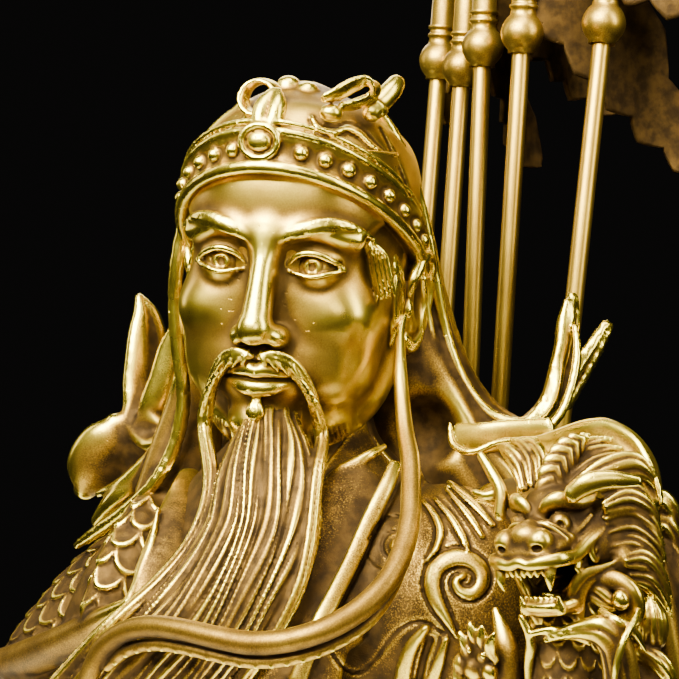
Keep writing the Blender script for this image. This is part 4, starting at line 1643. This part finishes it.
# %% Poles
ROD_SIDES, ROD_BEVEL = 40, 0.35


def rod(name, foot, up, length):
    bm = bmesh.new()
    bmesh.ops.create_cone(bm, cap_ends=True, cap_tris=False, segments=ROD_SIDES, radius1=POLE_RADIUS * MM,
                          radius2=POLE_RADIUS * MM, depth=length * MM)
    ends = [e for e in bm.edges if abs(e.verts[0].co.z - e.verts[1].co.z) < 1e-9]
    bmesh.ops.bevel(bm, geom=ends, offset=ROD_BEVEL * MM, offset_type="OFFSET", segments=3, profile=0.5,
                    affect="EDGES", material=-1)
    bmesh.ops.translate(bm, verts=bm.verts, vec=(0, 0, length / 2 * MM))
    turn = Vector(up).to_track_quat("Z", "X").to_matrix().to_4x4()
    bmesh.ops.transform(bm, matrix=Matrix.Translation(Vector(foot) * MM) @ turn, verts=bm.verts)
    for face in bm.faces:
        face.smooth = len(face.verts) < 10
    mesh = bpy.data.meshes.new(name)
    bm.to_mesh(mesh)
    bm.free()
    return finished(name, mesh, POLE_BRASS)


POLE_BRASS = brass("drawn brass of the poles", dark=0.5, grain=0.3, wear=0.2, bump=0.00005)
SLEEVE_BRASS = brass("brass of the sleeves", grain=0.5, wear=0.22)
BANNER_BRASS = brass("brass of the banners", grain=0.5, wear=-0.4)
LIT_BANNER_BRASS = brass("brass of the near banner", grain=0.5, wear=-0.04)
for number, pole in enumerate(POLES, 1):
    mouth, up, ferrule = stand(pole)
    buried = SOCKET_DEPTH - FIT_GAP
    piece = rod(f"rod_{number}", mouth - buried * up, up, buried + ferrule + BORE_DEPTH - FIT_GAP)
    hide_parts(f"pole_{number}")
print("poles:", len(POLES))

# %% [markdown]
# ## The banners
#
# Each pole carries a banner cast in one with its sleeve: a round ferrule like a bead, a sleeve
# with four rings, a leaf spearhead, and a pennant with a wave in it and flame points along its
# edges. The turned parts are spun from a profile. The pennant is a grid that is bent to the wave
# and then given its thickness.

# %% Banners
BANNER_HOIST, BANNER_FLY, BANNER_THICKNESS, BANNER_TOOTH = 62.0, 58.0, 2.4, 4.0
SLEEVE_OVERRUN, SLEEVE_RADIUS, FERRULE_WALL = 4.0, 4.0, 3.2
SPEAR_LENGTH, SPEAR_WIDTH, SPEAR_THICKNESS = 16.0, 9.0, 3.4
SLEEVE_TOP = FERRULE_HEIGHT + BANNER_HOIST + 2 * SLEEVE_OVERRUN
FERRULE_RADIUS = BORE_RADIUS + FERRULE_WALL
SPUN_SIDES, PENNANT_COLUMNS, PENNANT_ROWS = 32, 90, 60


def spun(bm, profile):
    """Spins a profile of (radius, height) round Z."""
    verts = [bm.verts.new((r * MM, 0, z * MM)) for r, z in profile]
    edges = [bm.edges.new(pair) for pair in zip(verts[:-1], verts[1:])]
    bmesh.ops.spin(bm, geom=verts + edges, cent=(0, 0, 0), axis=UPWARD, angle=2 * math.pi, steps=SPUN_SIDES,
                   use_merge=True, use_duplicate=False)


def sleeve_profile():
    """From the top of the bore inside, over the ferrule's bead and the rings, to the top of the sleeve."""
    lip = BORE_RADIUS + 0.9
    bore = [(0, BORE_DEPTH), (BORE_RADIUS, BORE_DEPTH), (BORE_RADIUS, 0.3), (BORE_RADIUS + 0.4, 0), (lip, 0)]
    bead = [(lip + (FERRULE_RADIUS - lip) * math.sin(math.pi * t) ** 0.8, FERRULE_HEIGHT * (0.08 + 0.8 * t))
            for t in np.linspace(0, 1, 12)]
    rings = []
    for z in (FERRULE_HEIGHT + 1.0, FERRULE_HEIGHT + 3.4, SLEEVE_TOP - 3.4, SLEEVE_TOP - 1.0):
        rings += [(SLEEVE_RADIUS - 0.5, z - 0.7), (SLEEVE_RADIUS, z - 0.35),
                  (SLEEVE_RADIUS, z + 0.35), (SLEEVE_RADIUS - 0.5, z + 0.7)]
    return bore + bead + rings + [(0, SLEEVE_TOP)]


def pennant_point(out, rise, droop):
    """A point of the pennant's middle sheet: out runs from 0 at the sleeve to 1 at the tip, and rise
    from 0 at the lower edge to 1 at the upper."""
    slope_low, slope_high = droop / BANNER_FLY, (BANNER_HOIST + droop) / BANNER_FLY
    lower = -droop * out**0.8
    upper = BANNER_HOIST - (BANNER_HOIST + droop - BANNER_THICKNESS) * out**1.2
    wave = 4.5 * math.sin(out * 2 * math.pi) * math.sqrt(out)
    point = abs(((out * 5.0) % 1.0) - 0.5) * 2
    tooth = BANNER_TOOTH * (1 - point) ** 0.8 * min(1, out * 8)
    x = out * BANNER_FLY
    y = lower + (upper - lower) * rise
    edge = 2 * rise - 1
    lean = slope_high if edge > 0 else slope_low
    push = tooth * abs(edge) ** 6 / math.hypot(lean, 1) * (1 if edge > 0 else -1)
    return x + push * lean, FERRULE_HEIGHT + SLEEVE_OVERRUN + y + push, wave


def banner(number, pole):
    mouth, up, ferrule = stand(pole)
    bm = bmesh.new()
    spun(bm, sleeve_profile())
    bmesh.ops.remove_doubles(bm, verts=bm.verts, dist=1e-7)
    turned = set(bm.faces)
    # the pennant
    grid = bmesh.ops.create_grid(bm, x_segments=PENNANT_COLUMNS, y_segments=PENNANT_ROWS, size=0.5)
    sheet = grid["verts"]
    for v in sheet:
        out, rise = v.co.x + 0.5, v.co.y + 0.5
        x, y, w = pennant_point(out, rise, pole["droop"])
        v.co = (x * MM, -w * MM, y * MM)
    sheet_faces = list({f for v in sheet for f in v.link_faces})
    bmesh.ops.recalc_face_normals(bm, faces=sheet_faces)
    bmesh.ops.solidify(bm, geom=sheet_faces, thickness=-BANNER_THICKNESS * 0.62 * MM)
    for face in bm.faces:
        face.material_index = 0 if face in turned else 1
    # the spearhead
    ball = bmesh.ops.create_uvsphere(bm, u_segments=28, v_segments=20, radius=1.0)
    for v in ball["verts"]:
        share = (v.co.z + 1) / 2
        keel = 1 - 0.35 * abs(v.co.x)
        v.co = (v.co.x * SPEAR_WIDTH * (1.2 - 0.6 * share) / 2 * MM, v.co.y * SPEAR_THICKNESS / 2 * keel * MM,
                (SLEEVE_TOP + (share - 0.06) * SPEAR_LENGTH) * MM)
    heading = Matrix.Rotation(math.radians(pole["heading"]), 4, "Z")
    lean = Vector(BACKWARD).rotation_difference(Vector(up)).to_matrix().to_4x4()
    turn = lean @ Matrix.Rotation(math.radians(-90), 4, "X")
    place = Matrix.Translation(Vector(mouth + ferrule * up) * MM) @ turn @ heading
    bmesh.ops.transform(bm, matrix=place, verts=bm.verts)
    bmesh.ops.recalc_face_normals(bm, faces=bm.faces)
    for face in bm.faces:
        face.smooth = True
    mesh = bpy.data.meshes.new(f"pennant_{number}")
    bm.to_mesh(mesh)
    bm.free()
    piece = finished(f"pennant_{number}", mesh, SLEEVE_BRASS)
    mesh.materials.append(BANNER_BRASS if number < len(POLES) else LIT_BANNER_BRASS)
    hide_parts(f"banner_{number}")
    return piece


for number, pole in enumerate(POLES, 1):
    piece = banner(number, pole)
print("banner faces:", len(piece.data.polygons))

FIGURE_PIECES = (
    "face", "cap", "hood", "beard", "chest", "breast", "sash", "left_shoulder", "right_shoulder",
    "dragon_head", "dragon_body", "flag_case",
)
for piece in STATUE:
    if piece.name in FIGURE_PIECES:
        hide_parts("figure")

# %% [markdown]
# ## Where forms meet
#
# Polish never reaches where a sleeve meets the beard or a horn meets the hood. The coarse block
# holds the whole figure, so its mean distance at a corner says how shut in the place is. It is
# written on every piece as the attribute deep.

# %% Joints
deep_field = steeped(np.clip(COARSE, -6, 6), COARSE_STEP, 4.0)
for piece in STATUE:
    mesh = piece.data
    places = np.empty(len(mesh.vertices) * 3, np.float32)
    mesh.vertices.foreach_get("co", places)
    values = sampled(deep_field, COARSE_LOW, COARSE_STEP, places.reshape(-1, 3) / MM)
    mesh.attributes.new("deep", "FLOAT", "POINT").data.foreach_set("value", values)
    if piece.name in ("face", "chest"):
        print(piece.name, "deep", np.percentile(values, [5, 25, 50, 75, 95]).round(2))

# %% [markdown]
# ## Stage, light and camera
#
# Brass shows what it reflects, so it needs large soft lights with dark gaps between them. A warm
# key lamp stands high in front, a long strip at the figure's left, a lamp over the crown, a low
# fill, a weak strip at the far side and a lamp behind. The floor is a pale finite disc. The
# camera looks from the figure's left front, from the height of the brow, as in the picture.

# %% Stage
FLOOR_RADIUS, FLOOR_COLOUR = 0.132, (0.78, 0.76, 0.72, 1)
ROOM_COLOUR, ROOM_LIGHT = (0.33, 0.31, 0.29, 1), 0.012


def floor():
    bm = bmesh.new()
    bmesh.ops.create_circle(bm, cap_ends=True, cap_tris=False, segments=96, radius=FLOOR_RADIUS)
    mesh = bpy.data.meshes.new("floor")
    bm.to_mesh(mesh)
    bm.free()
    piece = bpy.data.objects.new("floor", mesh)
    bpy.context.scene.collection.objects.link(piece)
    made = bpy.data.materials.new("pale floor")
    made.use_nodes = True
    shader = made.node_tree.nodes["Principled BSDF"]
    shader.inputs["Roughness"].default_value = 0.7
    shader.inputs["Base Color"].default_value = FLOOR_COLOUR
    mesh.materials.append(made)


floor()


def lamp(name, azimuth, elevation, distance, size, power, colour, target=(0, 0, 0.11), beam=180):
    """A soft lamp, placed round its target by two angles in degrees and a distance in metres."""
    light = bpy.data.lights.new(name, "AREA")
    light.shape = "RECTANGLE"
    light.size, light.size_y = size
    light.energy, light.color, light.spread = power, colour, math.radians(beam)
    holder = bpy.data.objects.new(name, light)
    a, e = math.radians(azimuth), math.radians(elevation)
    away = Vector((math.sin(a) * math.cos(e), -math.cos(a) * math.cos(e), math.sin(e)))
    holder.location = Vector(target) + distance * away
    holder.rotation_euler = away.to_track_quat("Z", "Y").to_euler()
    bpy.context.scene.collection.objects.link(holder)


lamp("key", 0, 38, 0.5, (0.46, 0.4), 8.2, (1.0, 0.99, 0.64), (0, 0, 0.22), beam=80)
lamp("side", 94, 26, 0.7, (0.16, 0.6), 5.6, (1.0, 0.97, 0.68))
lamp("crown", 50, 76, 0.6, (0.3, 0.3), 5.0, (1.0, 0.95, 0.74))
lamp("fill", 42, 14, 0.8, (0.3, 0.2), 1.6, (1.0, 0.94, 0.7), (0, 0, 0.16))
lamp("far side", -80, 22, 0.8, (0.16, 0.6), 1.6, (1.0, 0.92, 0.66))
lamp("back", 215, 35, 0.8, (0.5, 0.5), 5.0, (1.0, 0.95, 0.76))
world = bpy.data.worlds.new("room")
bpy.context.scene.world = world
world.use_nodes = True
background = world.node_tree.nodes["Background"]
background.inputs["Color"].default_value = ROOM_COLOUR
background.inputs["Strength"].default_value = ROOM_LIGHT

camera_data = bpy.data.cameras.new("camera")
camera_data.lens, camera_data.sensor_width = LENS, SENSOR
camera = bpy.data.objects.new("camera", camera_data)
camera.location = Vector(EYE * MM)
camera.rotation_euler = Matrix((LOOK_RIGHT, LOOK_UP, LOOK_BACK)).transposed().to_euler()
bpy.context.scene.collection.objects.link(camera)
bpy.context.scene.camera = camera
print("lamps:", len(bpy.data.lights), "camera at", [round(v, 3) for v in camera.location])

# %% [markdown]
# ## How large it came out
#
# The size of the solid model and of the finished scene are kept side by side, so that the two
# can be compared.

# %% Sizes
# a face of n corners counts as n - 2 triangles
total = sum(len(p.data.loops) - 2 * len(p.data.polygons) for p in STATUE)
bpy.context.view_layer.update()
print("triangles:", total, "seconds:", round(time.time() - STARTED, 1))
